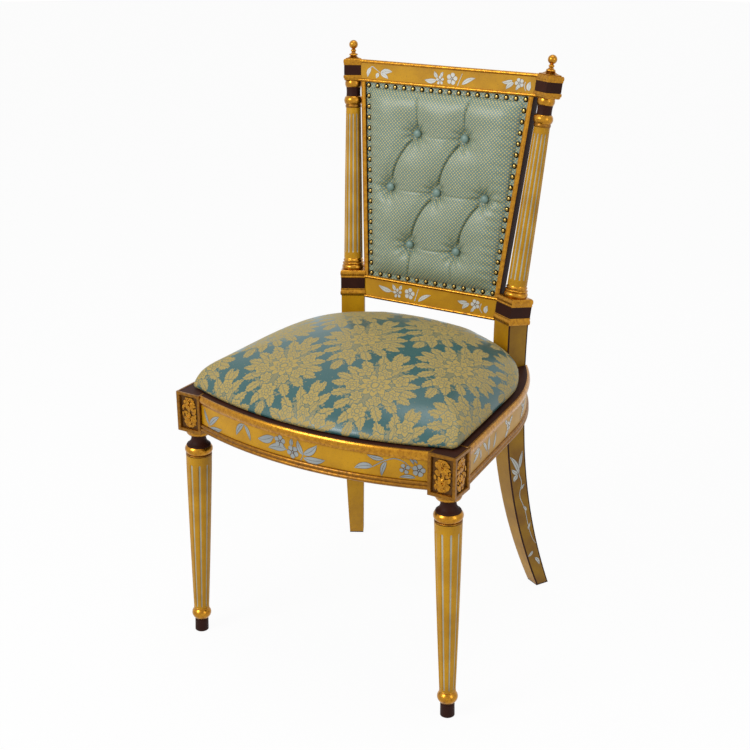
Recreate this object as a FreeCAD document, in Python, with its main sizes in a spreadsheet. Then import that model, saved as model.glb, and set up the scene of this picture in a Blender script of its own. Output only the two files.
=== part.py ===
import FreeCAD, Part
import math
import os

import Sketcher

# A painted and gilded side chair on turned, fluted front legs and sabre back legs.
# Millimetres. X to the sitter's left as seen from the front, Y to the back, Z up.
# The origin is on the floor, under the middle of the chair.

SIZES = {
    # Seat frame
    "front_span": 508.0,
    "front_reach": 224.0,
    "seat_top": 450.5,
    "rail_low": 388.5,
    "rail_thick": 26.0,
    "bead_proud": 4.0,
    "bow_radius": 630.0,
    "bow_reach": 258.7,
    "bow_sweep": 46.0,
    "side_taper": 4.4,
    "side_radius": 350.0,
    "side_bend_from": 15.0,
    "side_bend_to": 36.0,
    "back_rail_thick": 22.0,
    "back_rail_behind": 13.0,
    # Top bead and lower double bead of the seat rails
    "top_bead_tall": 14.5,
    "top_bead_round": 11.0,
    "top_bead_radius": 9.0,
    "top_bead_step": 1.5,
    "top_bead_lift": 0.5,
    "low_bead_tall": 13.0,
    "low_bead_round": 6.4,
    "low_bead_radius": 3.6,
    "low_bead_step": 1.4,
    # Joints
    "fit_gap": 0.3,
    "tenon_thick": 10.0,
    "tenon_long": 18.0,
    "tenon_shoulder": 10.0,
    "tenon_root": 20.0,
    "rail_end_turn": 30.4,
    "back_tenon_long": 14.0,
    "overrun": 60.0,
    "wide_cut": 120.0,
    "long_cut": 300.0,
    "tall_cut": 600.0,
    "trim_allowance": 4.5,
    # Front legs
    "block_width": 46.0,
    "block_depth": 48.0,
    "block_low": 382.5,
    "splay_side": 1.6,
    "splay_front": 1.1,
    "ovolo_radius": 21.5,
    "ovolo_tall": 13.5,
    "ovolo_curve": 14.18,
    "neck_radius": 13.5,
    "bell_radius": 20.5,
    "bell_tall": 15.5,
    "bell_curve": 17.05,
    "ring_curve": 10.92,
    "ring_tall": 14.0,
    "shaft_top_radius": 21.4,
    "shaft_foot_radius": 12.9,
    "shaft_tall": 290.5,
    "ankle_curve": 13.64,
    "ankle_neck_radius": 12.0,
    "ankle_tall": 22.0,
    "foot_radius": 11.3,
    "quirk": 1.5,
    "leg_flute_radius": 3.0,
    "leg_flute_foot_radius": 2.1,
    "leg_flute_out": 1.1,
    "leg_flute_start": 15.0,
    "leg_flute_stop": 3.0,
    "panel_wide": 30.0,
    "panel_tall": 54.0,
    "panel_deep": 4.0,
    "carving_base": 1.2,
    "carving_petal": 7.5,
    "carving_petal_round": 8.25,
    "carving_petal_tall": 1.9,
    "carving_heart": 4.0,
    "carving_pitch": 25.0,
    # Back posts
    "post_x": 150.3,
    "post_y": 155.0,
    "post_turn": 28.84,
    "post_rake": 7.97,
    "post_knee": 440.0,
    "post_width": 40.6,
    "post_front": 8.7,
    "post_back": 32.3,
    "calf_top": 330.0,
    "calf_front": 3.0,
    "calf_back": 34.5,
    "calf_front_radius": 965.0,
    "calf_back_radius": 1080.0,
    "thigh_front_radius": 1860.0,
    "thigh_back_radius": 1640.0,
    "hoof_front": 85.0,
    "hoof_back": 110.95,
    "hoof_width": 26.5,
    "plinth_from": 85.3,
    "plinth_band_tall": 19.3,
    "plinth_moulding_tall": 12.2,
    "plinth_width": 42.3,
    "plinth_moulding_width": 44.6,
    "plinth_cap_tall": 13.5,
    "base_tall": 12.0,
    "base_curve": 8.4,
    "base_radius": 20.0,
    "column_from": 20.5,
    "column_foot_radius": 16.5,
    "column_top_radius": 12.9,
    "column_tall": 262.0,
    "collar_tall": 6.0,
    "collar_radius": 13.9,
    "astragal_tall": 13.0,
    "astragal_curve": 7.28,
    "gorge_tall": 16.0,
    "gorge_radius": 12.2,
    "gorge_edge": 14.0,
    "upper_ring_tall": 11.0,
    "upper_ring_curve": 6.6,
    "cap_moulding_tall": 9.5,
    "cap_moulding_width": 33.2,
    "cap_band_tall": 16.3,
    "cap_band_width": 31.0,
    "cap_top_tall": 10.2,
    "column_flute_radius": 2.6,
    "column_flute_top_radius": 2.0,
    "column_flute_out": 0.9,
    "column_flute_margin": 10.0,
    # Finials
    "finial_base": 26.5,
    "finial_base_tall": 1.6,
    "finial_waist": 14.0,
    "finial_waist_up": 5.0,
    "finial_neck": 6.4,
    "finial_neck_up": 11.0,
    "finial_bead_round": 2.85,
    "finial_bead_up": 14.2,
    "finial_stalk": 2.6,
    "finial_ball": 7.5,
    "finial_ball_up": 24.4,
    "finial_dowel": 4.0,
    "finial_dowel_long": 15.0,
    # Frame of the back, measured up the rake from the knee of the posts
    "back_front": 7.0,
    "back_thick": 22.0,
    "back_low": 84.1,
    "panel_low": 124.1,
    "panel_high": 457.9,
    "back_high": 494.7,
    "panel_low_half": 123.5,
    "panel_high_half": 153.0,
    "stile_wide": 8.7,
    "lip_wide": 11.0,
    "lip_thick": 8.0,
    "tongue_long": 8.0,
    "tongue_thick": 6.0,
    "back_tenon_thick": 9.0,
    "strip_tall": 5.5,
    "strip_radius": 3.4,
    "strip_step": 0.8,
    # Upholstery of the back
    "board_thick": 5.0,
    "back_border": 5.5,
    "back_crown": 17.0,
    "tuft_floor": 8.0,
    "tuft_mouth": 27.0,
    "tuft_round": 34.0,
    "tuft_spread": 90.0,
    "tuft_rise": 95.0,
    "tuft_middle": 285.0,
    "cloth": 1.2,
    "button_radius": 7.2,
    "button_tall": 4.0,
    "nail_radius": 4.7,
    "nail_tall": 2.6,
    "nail_margin": 5.3,
    "outside_back_thick": 3.0,
    "outside_back_lap": 7.0,
    # Seat deck and cushion
    "seat_board": 9.0,
    "board_gap": 0.5,
    "board_rear": 134.0,
    "board_tongue_half": 116.0,
    "notch_gap": 0.6,
    "cushion_front_inset": 10.0,
    "cushion_side_inset": 12.5,
    "cushion_corner": 12.0,
    "cushion_corner_round": 13.2,
    "cushion_bend": 8.0,
    "cushion_rear_radius": 110.0,
    "cushion_rear_turn": 62.0,
    "cushion_flank": 50.0,
    "cushion_tail": 16.0,
    "cushion_rear": 152.0,
    "cushion_middle": 50.0,
    "cushion_drift": 62.0,
    "cushion_height": 83.0,
    "dust_cloth": 0.8,
    "dust_lap": 12.0,
    # Corner blocks and screws
    "brace_drop": 9.0,
    "brace_tall": 24.0,
    "brace_bite": 6.0,
    "brace_reach": 66.0,
    "brace_rear_from": 70.0,
    "brace_flank_turn": 17.0,
    "brace_post_turn": 27.0,
    "screw_radius": 2.0,
    "screw_head_radius": 4.0,
    "screw_head_tall": 3.0,
    "screw_long": 32.0,
    "screw_bite": 14.0,
    "screw_on_front": 178.0,
    "screw_on_side": 34.0,
    "screw_on_back": 116.0,
    "screw_on_bend": 24.0,
    "deck_screw_bite": 6.5,
    "deck_screw_front_x": 200.0,
    "deck_screw_front_y": 170.0,
    "deck_screw_rear_x": 150.0,
    "deck_screw_rear_y": 124.0,
}

# Heights of the cushion's sections, as shares of its height, with the share of the plan outline at each.
CUSHION_SHARES = (
    (0.965, 0.0),
    (0.997, 0.05),
    (0.991, 0.192),
    (0.953, 0.382),
    (0.865, 0.572),
    (0.73, 0.734),
    (0.562, 0.858),
    (0.396, 0.934),
    (0.242, 0.976),
    (0.11, 0.995),
)
# The same for the back pad: share of the panel's outline, and share of the crown.
BACK_PAD_SHARES = (
    (0.915, 0.0),
    (0.905, 0.16),
    (0.87, 0.42),
    (0.78, 0.70),
    (0.60, 0.90),
    (0.35, 1.0),
)
# Places of the tufts, as shares of their sideways spread and of their rise above the panel's middle.
TUFT_SHARES = ((-0.5, 1.0), (0.5, 1.0), (-1.0, 0.0), (0.0, 0.0), (1.0, 0.0), (-0.5, -1.0), (0.5, -1.0))
# Where a carved petal is widest, as a share of its length.
PETAL_SWELL_SHARE = 0.55

FLUTES_PER_LEG = 9
FLUTES_PER_COLUMN = 12
PETALS = 8
NAILS_ACROSS_TOP = 18
NAILS_ACROSS_FOOT = 14
NAILS_UP_SIDE = 17
SIDES = (("right", 1), ("left", -1))


class Size:
    """A number together with the spreadsheet formula that gives it."""

    def __init__(self, number, formula):
        self.number = float(number)
        self.formula = formula

    def joined(self, other, sign, number):
        return Size(number, "(%s %s %s)" % (self.formula, sign, other.formula))

    def __add__(self, other):
        other = as_size(other)
        return self.joined(other, "+", self.number + other.number)

    def __sub__(self, other):
        other = as_size(other)
        return self.joined(other, "-", self.number - other.number)

    def __mul__(self, other):
        other = as_size(other)
        return self.joined(other, "*", self.number * other.number)

    def __truediv__(self, other):
        other = as_size(other)
        return self.joined(other, "/", self.number / other.number)

    def __radd__(self, other):
        return as_size(other) + self

    def __rsub__(self, other):
        return as_size(other) - self

    def __rmul__(self, other):
        return as_size(other) * self

    def __neg__(self):
        return Size(-self.number, "(0 - %s)" % self.formula)


def as_size(value):
    return value if isinstance(value, Size) else Size(value, "(%r)" % float(value))


def root(value):
    return Size(math.sqrt(value.number), "sqrt(%s)" % value.formula)


def sine(value):
    return Size(math.sin(math.radians(value.number)), "sin(%s)" % value.formula)


def cosine(value):
    return Size(math.cos(math.radians(value.number)), "cos(%s)" % value.formula)


def tangent(value):
    return Size(math.tan(math.radians(value.number)), "tan(%s)" % value.formula)


class Sheet:
    """The spreadsheet of driving sizes; each alias reads as an attribute."""

    def __init__(self, document, table):
        self.table = table
        self.sheet = document.addObject("Spreadsheet::Sheet", "Sizes")
        for row, (alias, value) in enumerate(table.items(), start=1):
            self.sheet.set("A%d" % row, alias)
            self.sheet.set("B%d" % row, "%s" % value)
            self.sheet.setAlias("B%d" % row, alias)

    def __getattr__(self, alias):
        return Size(self.table[alias], "Sizes.%s" % alias)


doc = FreeCAD.newDocument("SideChair")
size = Sheet(doc, SIZES)
doc.recompute()
PIECES = []

X_AXIS = FreeCAD.Vector(1, 0, 0)
Z_AXIS = FreeCAD.Vector(0, 0, 1)
WORLD = FreeCAD.Placement()


def value_of(number):
    return as_size(number).number


def frame(x=0, y=0, z=0, axis=Z_AXIS, angle=0):
    spot = FreeCAD.Vector(value_of(x), value_of(y), value_of(z))
    return FreeCAD.Placement(spot, FreeCAD.Rotation(axis, value_of(angle)))


def upright(base):
    """The base frame tipped up, so that a sketch in it shows widths across and heights up."""
    return base.multiply(frame(axis=X_AXIS, angle=90))


def edgeways(base):
    """The base frame seen from its side: depths across and heights up."""
    return base.multiply(frame(angle=90)).multiply(frame(axis=X_AXIS, angle=90))


def new_body(name, placement=WORLD):
    body = doc.addObject("PartDesign::Body", name)
    body.Label = name
    body.Placement = placement
    return body


def keep(piece, label=None):
    if label:
        piece.Label = label
    PIECES.append(piece)
    return piece


def new_sketch(body, place):
    """A sketch of the body, lying in a frame given in the chair's own axes."""
    sketch = body.newObject("Sketcher::SketchObject", body.Name + "_sketch")
    plane = [item for item in body.Origin.OriginFeatures if item.Role == "XY_Plane"][0]
    sketch.AttachmentSupport = [(plane, "")]
    sketch.MapMode = "FlatFace"
    sketch.AttachmentOffset = body.Placement.inverse().multiply(place)
    return sketch


def arc_centre(start, end, radius, turn):
    middle = (start + end) * 0.5
    chord = end - start
    reach = math.sqrt(max(radius * radius - chord.Length ** 2 / 4, 0))
    normal = FreeCAD.Vector(-chord.y, chord.x, 0).normalize()
    return middle + normal * (reach * turn)


def add_loop(sketch, points, arcs):
    """Close a loop through the points; arcs maps a side's number to its radius and its turn.

    A turn of 1 is anticlockwise along the loop, and -1 is clockwise.
    """
    spots = [FreeCAD.Vector(value_of(x), value_of(y), 0) for x, y in points]
    count = len(points)
    first = sketch.GeometryCount
    ends = []
    for index in range(count):
        start = spots[index]
        end = spots[(index + 1) % count]
        if index in arcs:
            radius, turn = arcs[index]
            centre = arc_centre(start, end, value_of(radius), turn)
            circle = Part.Circle(centre, Z_AXIS, value_of(radius))
            begin = circle.parameter(start if turn > 0 else end)
            finish = circle.parameter(end if turn > 0 else start)
            sketch.addGeometry(Part.ArcOfCircle(circle, begin, finish), False)
            ends.append((1, 2) if turn > 0 else (2, 1))
        else:
            sketch.addGeometry(Part.LineSegment(start, end), False)
            ends.append((1, 2))
    for index in range(count):
        after = (index + 1) % count
        joint = ("Coincident", first + index, ends[index][1], first + after, ends[after][0])
        sketch.addConstraint(Sketcher.Constraint(*joint))
    for index, (radius, turn) in arcs.items():
        bind(sketch, Sketcher.Constraint("Radius", first + index, value_of(radius)), radius)
    for index, point in enumerate(points):
        for kind, axis, coordinate in (("DistanceX", -2, point[0]), ("DistanceY", -1, point[1])):
            here = (first + index, ends[index][0])
            if value_of(coordinate) == 0:
                sketch.addConstraint(Sketcher.Constraint("PointOnObject", *here, axis))
            else:
                distance = Sketcher.Constraint(kind, -1, 1, *here, value_of(coordinate))
                bind(sketch, distance, coordinate)


def bind(sketch, constraint, length):
    number = sketch.addConstraint(constraint)
    sketch.setExpression("Constraints[%d]" % number, as_size(length).formula)


def loop_sketch(body, place, points, arcs=None):
    sketch = new_sketch(body, place)
    add_loop(sketch, points, arcs or {})
    return sketch


def box_points(low_x, high_x, low_y, high_y):
    return ((low_x, low_y), (high_x, low_y), (high_x, high_y), (low_x, high_y))


def square_points(half):
    return box_points(-half, half, -half, half)


def circle_sketch(body, place, radius):
    sketch = new_sketch(body, place)
    centre = FreeCAD.Vector(0, 0, 0)
    sketch.addGeometry(Part.Circle(centre, Z_AXIS, value_of(radius)), False)
    sketch.addConstraint(Sketcher.Constraint("Coincident", 0, 3, -1, 1))
    bind(sketch, Sketcher.Constraint("Radius", 0, value_of(radius)), radius)
    return sketch


def solid_volume(body):
    doc.recompute()
    return body.Shape.Volume if not body.Shape.isNull() else 0


def pad(body, sketch, length, symmetric=False, backwards=False):
    feature = body.newObject("PartDesign::Pad", body.Name + "_pad")
    feature.Profile = sketch
    feature.setExpression("Length", as_size(length).formula)
    feature.SideType = "Symmetric" if symmetric else "One side"
    feature.Reversed = backwards
    sketch.Visibility = False
    return feature


def pocket(body, sketch, depth, symmetric=False, backwards=False):
    """Cut the sketch down its own normal, and make sure that wood came away."""
    before = solid_volume(body)
    feature = body.newObject("PartDesign::Pocket", body.Name + "_pocket")
    feature.Profile = sketch
    feature.setExpression("Length", as_size(depth).formula)
    feature.SideType = "Symmetric" if symmetric else "One side"
    feature.Reversed = backwards
    if not solid_volume(body) < before:
        raise RuntimeError("a pocket in %s cuts nothing" % body.Label)
    return feature


def revolve(body, sketch, angle=None, symmetric=False, backwards=False):
    feature = body.newObject("PartDesign::Revolution", body.Name + "_turned")
    feature.Profile = sketch
    feature.ReferenceAxis = (sketch, ["V_Axis"])
    if angle is not None:
        feature.setExpression("Angle", as_size(angle).formula)
    feature.Midplane = symmetric
    feature.Reversed = backwards
    return feature


def groove(body, sketch):
    before = solid_volume(body)
    feature = body.newObject("PartDesign::Groove", body.Name + "_groove")
    feature.Profile = sketch
    feature.ReferenceAxis = (sketch, ["V_Axis"])
    if not solid_volume(body) < before:
        raise RuntimeError("a groove in %s cuts nothing" % body.Label)
    return feature


def repeat_round(body, feature, axis_sketch, count):
    pattern = body.newObject("PartDesign::PolarPattern", body.Name + "_round")
    pattern.Originals = [feature]
    pattern.Axis = (axis_sketch, ["V_Axis"])
    pattern.Occurrences = count
    body.Tip = pattern
    return pattern


def loft(body, sketches):
    feature = body.newObject("PartDesign::AdditiveLoft", body.Name + "_loft")
    feature.Profile = sketches[0]
    feature.Sections = sketches[1:]
    return feature


def bore(body, place, radius, depth):
    """A round hole from the frame's origin, up the frame's Z."""
    return pocket(body, circle_sketch(body, place, radius), depth, backwards=True)


def cut_away(label, base, tools):
    """The base with every tool's solid taken out of it."""
    for number, tool in enumerate(tools, start=1):
        result = doc.addObject("Part::Cut", "%s_cut%d" % (label, number))
        result.Base = base
        result.Tool = tool
        base = result
    return keep(base, label)


def copies(label, pattern, places):
    """Many alike pieces in one node, each a solid of its own."""
    shapes = []
    for place in places:
        shape = pattern.Shape.copy()
        shape.Placement = place.multiply(shape.Placement)
        shapes.append(shape)
    group = doc.addObject("Part::Feature", label)
    group.Shape = Part.makeCompound(shapes)
    group.Placement = WORLD
    return keep(group, label)


# Places that several pieces share

leg_x = size.front_span / 2 - size.block_width / 2
leg_y = -size.front_reach + size.block_depth / 2
block_inner = size.front_span / 2 - size.block_width
block_rear = -size.front_reach + size.block_depth
rail_tall = size.seat_top - size.rail_low
bow_centre = size.bow_radius - size.bow_reach
bow_face = size.bow_radius - size.bead_proud
bow_inner = bow_face - size.rail_thick
side_face = size.side_radius - size.bead_proud
side_inner = side_face - size.rail_thick
side_reach = size.side_bend_from - block_rear
side_centre_x = (size.front_span / 2 - side_reach * tangent(size.side_taper)
                 - size.side_radius * cosine(size.side_taper))
side_centre_y = size.side_bend_from - size.side_radius * sine(size.side_taper)
post_half = size.post_width / 2
back_rail_y = size.post_y + size.back_rail_behind
tenon_tall = rail_tall - 2 * size.tenon_shoulder
tenon_top = size.seat_top - size.tenon_shoulder
front_tenon_y = bow_centre - root((bow_face - size.rail_thick / 2) * (bow_face - size.rail_thick / 2)
                                  - block_inner * block_inner)
side_tenon_x = size.front_span / 2 - size.bead_proud - size.rail_thick / 2
side_end_turn = size.side_bend_to - size.side_taper
mortise_half = size.tenon_thick / 2 + size.fit_gap
mortise_tall = tenon_tall + 2 * size.fit_gap
mortise_top = tenon_top + size.fit_gap
brace_top = size.seat_top - size.brace_drop
screw_level = brace_top - size.brace_tall / 2
back_rail_face = back_rail_y - size.back_rail_thick / 2
lip_front = size.back_thick - size.back_front - size.lip_thick
board_front = lip_front - size.board_thick
border_front = board_front - size.back_border
tongue_front = size.back_thick / 2 - size.back_front - size.tongue_thick / 2

RAKE = math.degrees(math.atan(tangent(size.post_rake).number * cosine(size.post_turn).number))
LEAN = tangent(size.post_rake).number * sine(size.post_turn).number * math.cos(math.radians(RAKE))


def leg_frame(side):
    """At the foot of a front leg's block, leaning out with the turned part."""
    lean_out = -side * tangent(size.splay_side).number
    lean_up = FreeCAD.Vector(lean_out, tangent(size.splay_front).number, 1)
    spot = FreeCAD.Vector(side * leg_x.number, leg_y.number, size.block_low.number)
    return FreeCAD.Placement(spot, FreeCAD.Rotation(Z_AXIS, lean_up))


def post_frame(side, height=0):
    """On a back post's line at a height, turned with its four faces."""
    return frame(side * size.post_x, size.post_y, height, angle=-side * size.post_turn)


def lean_frame(side, up=0):
    """On a back post's raked line, a distance up from its knee."""
    knee = post_frame(side, size.post_knee).multiply(frame(axis=X_AXIS, angle=-size.post_rake))
    return knee.multiply(frame(z=up))


def back_frame(up=0, depth=0):
    """In the raked plane of the back, on the middle line."""
    plane = FreeCAD.Placement(FreeCAD.Vector(0, size.post_y.number, size.post_knee.number),
                              FreeCAD.Rotation(X_AXIS, -RAKE))
    return plane.multiply(frame(y=depth, z=up))


def bend_frame(side, turn):
    """At the centre of a side rail's bend, turned to a place along it."""
    return frame(side * side_centre_x, side_centre_y, angle=side * turn)


def sided(side, points):
    return tuple((side * x, y) for x, y in points)


# Front legs

def turned_leg_points():
    """Radius and depth of a front leg's turnings, from inside its block to under the floor line."""
    down = size.ovolo_tall
    points = [(0, size.quirk), (size.ovolo_radius, size.quirk), (size.ovolo_radius, 0)]
    arcs = {2: (size.ovolo_curve, -1)}
    points.append((size.neck_radius, -down))
    points.append((size.neck_radius, -(down + size.quirk)))
    bell_foot = down + size.quirk + size.bell_tall
    arcs[4] = (size.bell_curve, 1)
    points.append((size.bell_radius - size.quirk, -(bell_foot - size.quirk)))
    points.append((size.bell_radius, -bell_foot))
    ring_foot = bell_foot + size.ring_tall
    arcs[6] = (size.ring_curve, -1)
    points.append((size.bell_radius, -ring_foot))
    points.append((size.bell_radius - size.quirk, -ring_foot))
    shaft_top = ring_foot + size.quirk
    points.append((size.shaft_top_radius, -shaft_top))
    shaft_foot = shaft_top + size.shaft_tall
    points.append((size.shaft_foot_radius, -shaft_foot))
    points.append((size.ankle_neck_radius, -(shaft_foot + size.quirk)))
    ankle_foot = shaft_foot + size.quirk + size.ankle_tall
    arcs[11] = (size.ankle_curve, -1)
    points.append((size.ankle_neck_radius - size.quirk, -ankle_foot))
    points.append((size.foot_radius, -(ankle_foot + size.quirk)))
    under = size.block_low + size.quirk
    points.append((size.foot_radius, -under))
    points.append((0, -under))
    return points, arcs, shaft_top, shaft_foot


def leg_flute(body, side, shaft_top, shaft_foot):
    """One flute's round-nosed cutter, on a line along the tapering shaft."""
    start = shaft_top + size.leg_flute_start
    stop = shaft_foot - size.leg_flute_stop
    slope = (size.shaft_top_radius - size.shaft_foot_radius) / size.shaft_tall
    top_out = size.shaft_top_radius - slope * size.leg_flute_start + size.leg_flute_out
    long = stop - start
    taper = math.degrees(math.atan(slope.number))
    place = upright(leg_frame(side)).multiply(frame(x=top_out, y=-start, angle=-taper))
    return flute_sketch(body, place, long, size.leg_flute_radius, size.leg_flute_foot_radius)


def flute_sketch(body, place, long, wide, narrow):
    points = ((0, 0), (0, -long), (narrow, -(long - narrow)), (wide, -wide))
    return loop_sketch(body, place, points, {1: (narrow, 1), 3: (wide, 1)})


def front_leg(word, side):
    body = new_body("leg_front_" + word, frame(side * leg_x, leg_y, size.block_low))
    block = size.seat_top - size.block_low
    outline = box_points(-size.block_width / 2, size.block_width / 2,
                         -size.block_depth / 2, size.block_depth / 2)
    pad(body, loop_sketch(body, frame(side * leg_x, leg_y, size.block_low), outline), block)
    points, arcs, shaft_top, shaft_foot = turned_leg_points()
    turning = loop_sketch(body, upright(leg_frame(side)), points, arcs)
    revolve(body, turning)
    flute = groove(body, leg_flute(body, side, shaft_top, shaft_foot))
    repeat_round(body, flute, turning, FLUTES_PER_LEG)
    under = box_points(-size.overrun, size.overrun, -size.overrun, size.overrun)
    pocket(body, loop_sketch(body, frame(side * leg_x, leg_y), under), size.overrun)
    # Sunk panels for the carvings, on the front and on the outer side
    for place in carving_places(side):
        recess = box_points(-size.panel_wide / 2, size.panel_wide / 2,
                            -size.panel_tall / 2, size.panel_tall / 2)
        pocket(body, loop_sketch(body, place, recess), size.panel_deep)
    # Mortises for the front rail and the side rail
    inner = box_points(side * (block_inner - size.quirk),
                       side * (block_inner + size.tenon_long + size.fit_gap),
                       front_tenon_y - mortise_half, front_tenon_y + mortise_half)
    pocket(body, loop_sketch(body, frame(z=mortise_top), inner), mortise_tall)
    rear = box_points(side * side_tenon_x - mortise_half, side * side_tenon_x + mortise_half,
                      block_rear - size.tenon_long - size.fit_gap, block_rear + size.quirk)
    pocket(body, loop_sketch(body, frame(z=mortise_top), rear), mortise_tall)
    return keep(body)


def carving_places(side):
    """Frames on the front and the outer face of a leg's block, with Z pointing out of the wood."""
    middle = (size.seat_top + size.block_low) / 2
    front = frame(side * leg_x, -size.front_reach, middle, axis=X_AXIS, angle=90)
    turned = frame(side * size.front_span / 2, leg_y, middle, angle=side * 90)
    outer = turned.multiply(frame(axis=X_AXIS, angle=90))
    return front, outer


# Back posts

def sabre_points():
    """Side view of a post below its plinth: depth behind the post's line, and height."""
    top = size.post_knee + size.plinth_from + size.quirk
    points = ((size.hoof_front, 0), (size.hoof_back, 0), (size.calf_back, size.calf_top),
              (size.post_back, top), (-size.post_front, top), (-size.calf_front, size.calf_top))
    arcs = {1: (size.calf_back_radius, -1), 2: (size.thigh_back_radius, -1),
            4: (size.thigh_front_radius, 1), 5: (size.calf_front_radius, 1)}
    return points, arcs


def stack(side, body, at, levels):
    """Square mouldings one above the other, up the raked line."""
    for width, tall in levels:
        outline = square_points(width / 2)
        pad(body, loop_sketch(body, lean_frame(side, at), outline), tall)
        at = at + tall
    return at


def column_points(at):
    """Radius and height of a column's turnings, from inside its plinth to inside its capital."""
    foot = at + size.column_from
    shaft_top = foot + size.column_tall
    collar_top = shaft_top + size.collar_tall
    astragal_top = collar_top + size.astragal_tall
    gorge_top = astragal_top + size.gorge_tall
    ring_top = gorge_top + size.upper_ring_tall
    points = [(0, at - size.quirk), (size.base_radius - size.quirk, at - size.quirk),
              (size.base_radius - size.quirk, at), (size.base_radius - size.quirk, at + size.base_tall),
              (size.column_foot_radius + size.quirk, at + size.base_tall + size.quirk),
              (size.column_foot_radius, foot), (size.column_top_radius, shaft_top),
              (size.collar_radius, shaft_top), (size.collar_radius, collar_top),
              (size.gorge_edge, collar_top), (size.gorge_edge, astragal_top),
              (size.gorge_radius, astragal_top + size.quirk), (size.gorge_radius, gorge_top - size.quirk),
              (size.column_top_radius, gorge_top), (size.column_top_radius, ring_top),
              (size.column_top_radius, ring_top + size.quirk), (0, ring_top + size.quirk)]
    arcs = {2: (size.base_curve, 1), 9: (size.astragal_curve, 1),
            13: (size.upper_ring_curve, 1)}
    return points, arcs, foot, shaft_top, ring_top


def column_flute(body, side, foot, shaft_top):
    low = foot + size.column_flute_margin
    high = shaft_top - size.column_flute_margin
    slope = (size.column_foot_radius - size.column_top_radius) / size.column_tall
    taper = math.degrees(math.atan(slope.number))
    low_out = size.column_foot_radius - slope * size.column_flute_margin + size.column_flute_out
    place = upright(lean_frame(side)).multiply(frame(x=low_out, y=low, angle=taper))
    long = high - low
    wide = size.column_flute_radius
    narrow = size.column_flute_top_radius
    points = ((0, 0), (wide, wide), (narrow, long - narrow), (0, long))
    return loop_sketch(body, place, points, {0: (wide, 1), 2: (narrow, 1)})


def back_post(word, side):
    body = new_body("post_back_" + word, post_frame(side))
    points, arcs = sabre_points()
    pad(body, loop_sketch(body, edgeways(post_frame(side)), points, arcs), size.post_width, symmetric=True)
    # The calf tapers on both flanks down to the hoof
    for hand in (1, -1):
        wedge = ((hand * post_half, size.calf_top), (hand * size.hoof_width / 2, 0),
                 (hand * (post_half + size.quirk), 0), (hand * (post_half + size.quirk), size.calf_top))
        pocket(body, loop_sketch(body, upright(post_frame(side)), wedge), size.long_cut, symmetric=True)
    plinth_top = stack(side, body, size.plinth_from, (
        (size.plinth_moulding_width, size.plinth_moulding_tall),
        (size.plinth_width, size.plinth_band_tall),
        (size.plinth_moulding_width, size.plinth_cap_tall)))
    points, arcs, foot, shaft_top, ring_top = column_points(plinth_top)
    turning = loop_sketch(body, upright(lean_frame(side)), points, arcs)
    revolve(body, turning)
    flute = groove(body, column_flute(body, side, foot, shaft_top))
    repeat_round(body, flute, turning, FLUTES_PER_COLUMN)
    top = stack(side, body, ring_top, (
        (size.cap_moulding_width, size.cap_moulding_tall),
        (size.cap_band_width, size.cap_band_tall),
        (size.cap_moulding_width, size.cap_top_tall)))
    post_mortises(body, side)
    bore(body, lean_frame(side, top - size.finial_dowel_long - size.fit_gap),
         size.finial_dowel, size.finial_dowel_long + size.overrun)
    keep(body)
    return body, top


def post_mortises(body, side):
    # Back seat rail
    tip = size.post_x + size.fit_gap
    outline = box_points(side * (size.post_x - size.overrun), side * tip,
                         back_rail_y - mortise_half, back_rail_y + mortise_half)
    pocket(body, loop_sketch(body, frame(z=mortise_top), outline), mortise_tall)
    # Side seat rail, along the bend's line where the rail ends
    middle = side_face - size.rail_thick / 2
    outline = sided(side, box_points(middle - mortise_half, middle + mortise_half,
                                     -size.tenon_root, size.tenon_long + size.fit_gap))
    pocket(body, loop_sketch(body, rail_end_frame(side, mortise_top), outline), mortise_tall)
    # Rails of the back
    for low, high, half in back_rail_levels():
        reach = back_tenon_reach(low, high, half)
        top = high - size.tenon_shoulder + size.fit_gap
        depth = size.back_thick / 2 - size.back_front
        thick = size.back_tenon_thick / 2 + size.fit_gap
        outline = box_points(side * (reach - size.overrun), side * (reach + size.fit_gap),
                             depth - thick, depth + thick)
        tall = high - low - 2 * size.tenon_shoulder + 2 * size.fit_gap
        pocket(body, loop_sketch(body, back_frame(top), outline), tall)


def back_rail_levels():
    """Lower and upper edge of each rail of the back, with half the width of the block that it meets."""
    return ((size.back_low, size.panel_low, size.plinth_width / 2),
            (size.panel_high, size.back_high, size.cap_band_width / 2))


def post_line_x(up):
    """How far the raked line of a post is from the middle, at a distance up the back."""
    return size.post_x + up * LEAN


def back_tenon_reach(low, high, half):
    """Where the tenon of a rail of the back ends, inside the block."""
    middle = (low + high) / 2
    return post_line_x(middle) - half / cosine(size.post_turn) + size.back_tenon_long


def rail_end_frame(side, height):
    return frame(z=height).multiply(bend_frame(side, size.rail_end_turn))


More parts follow.
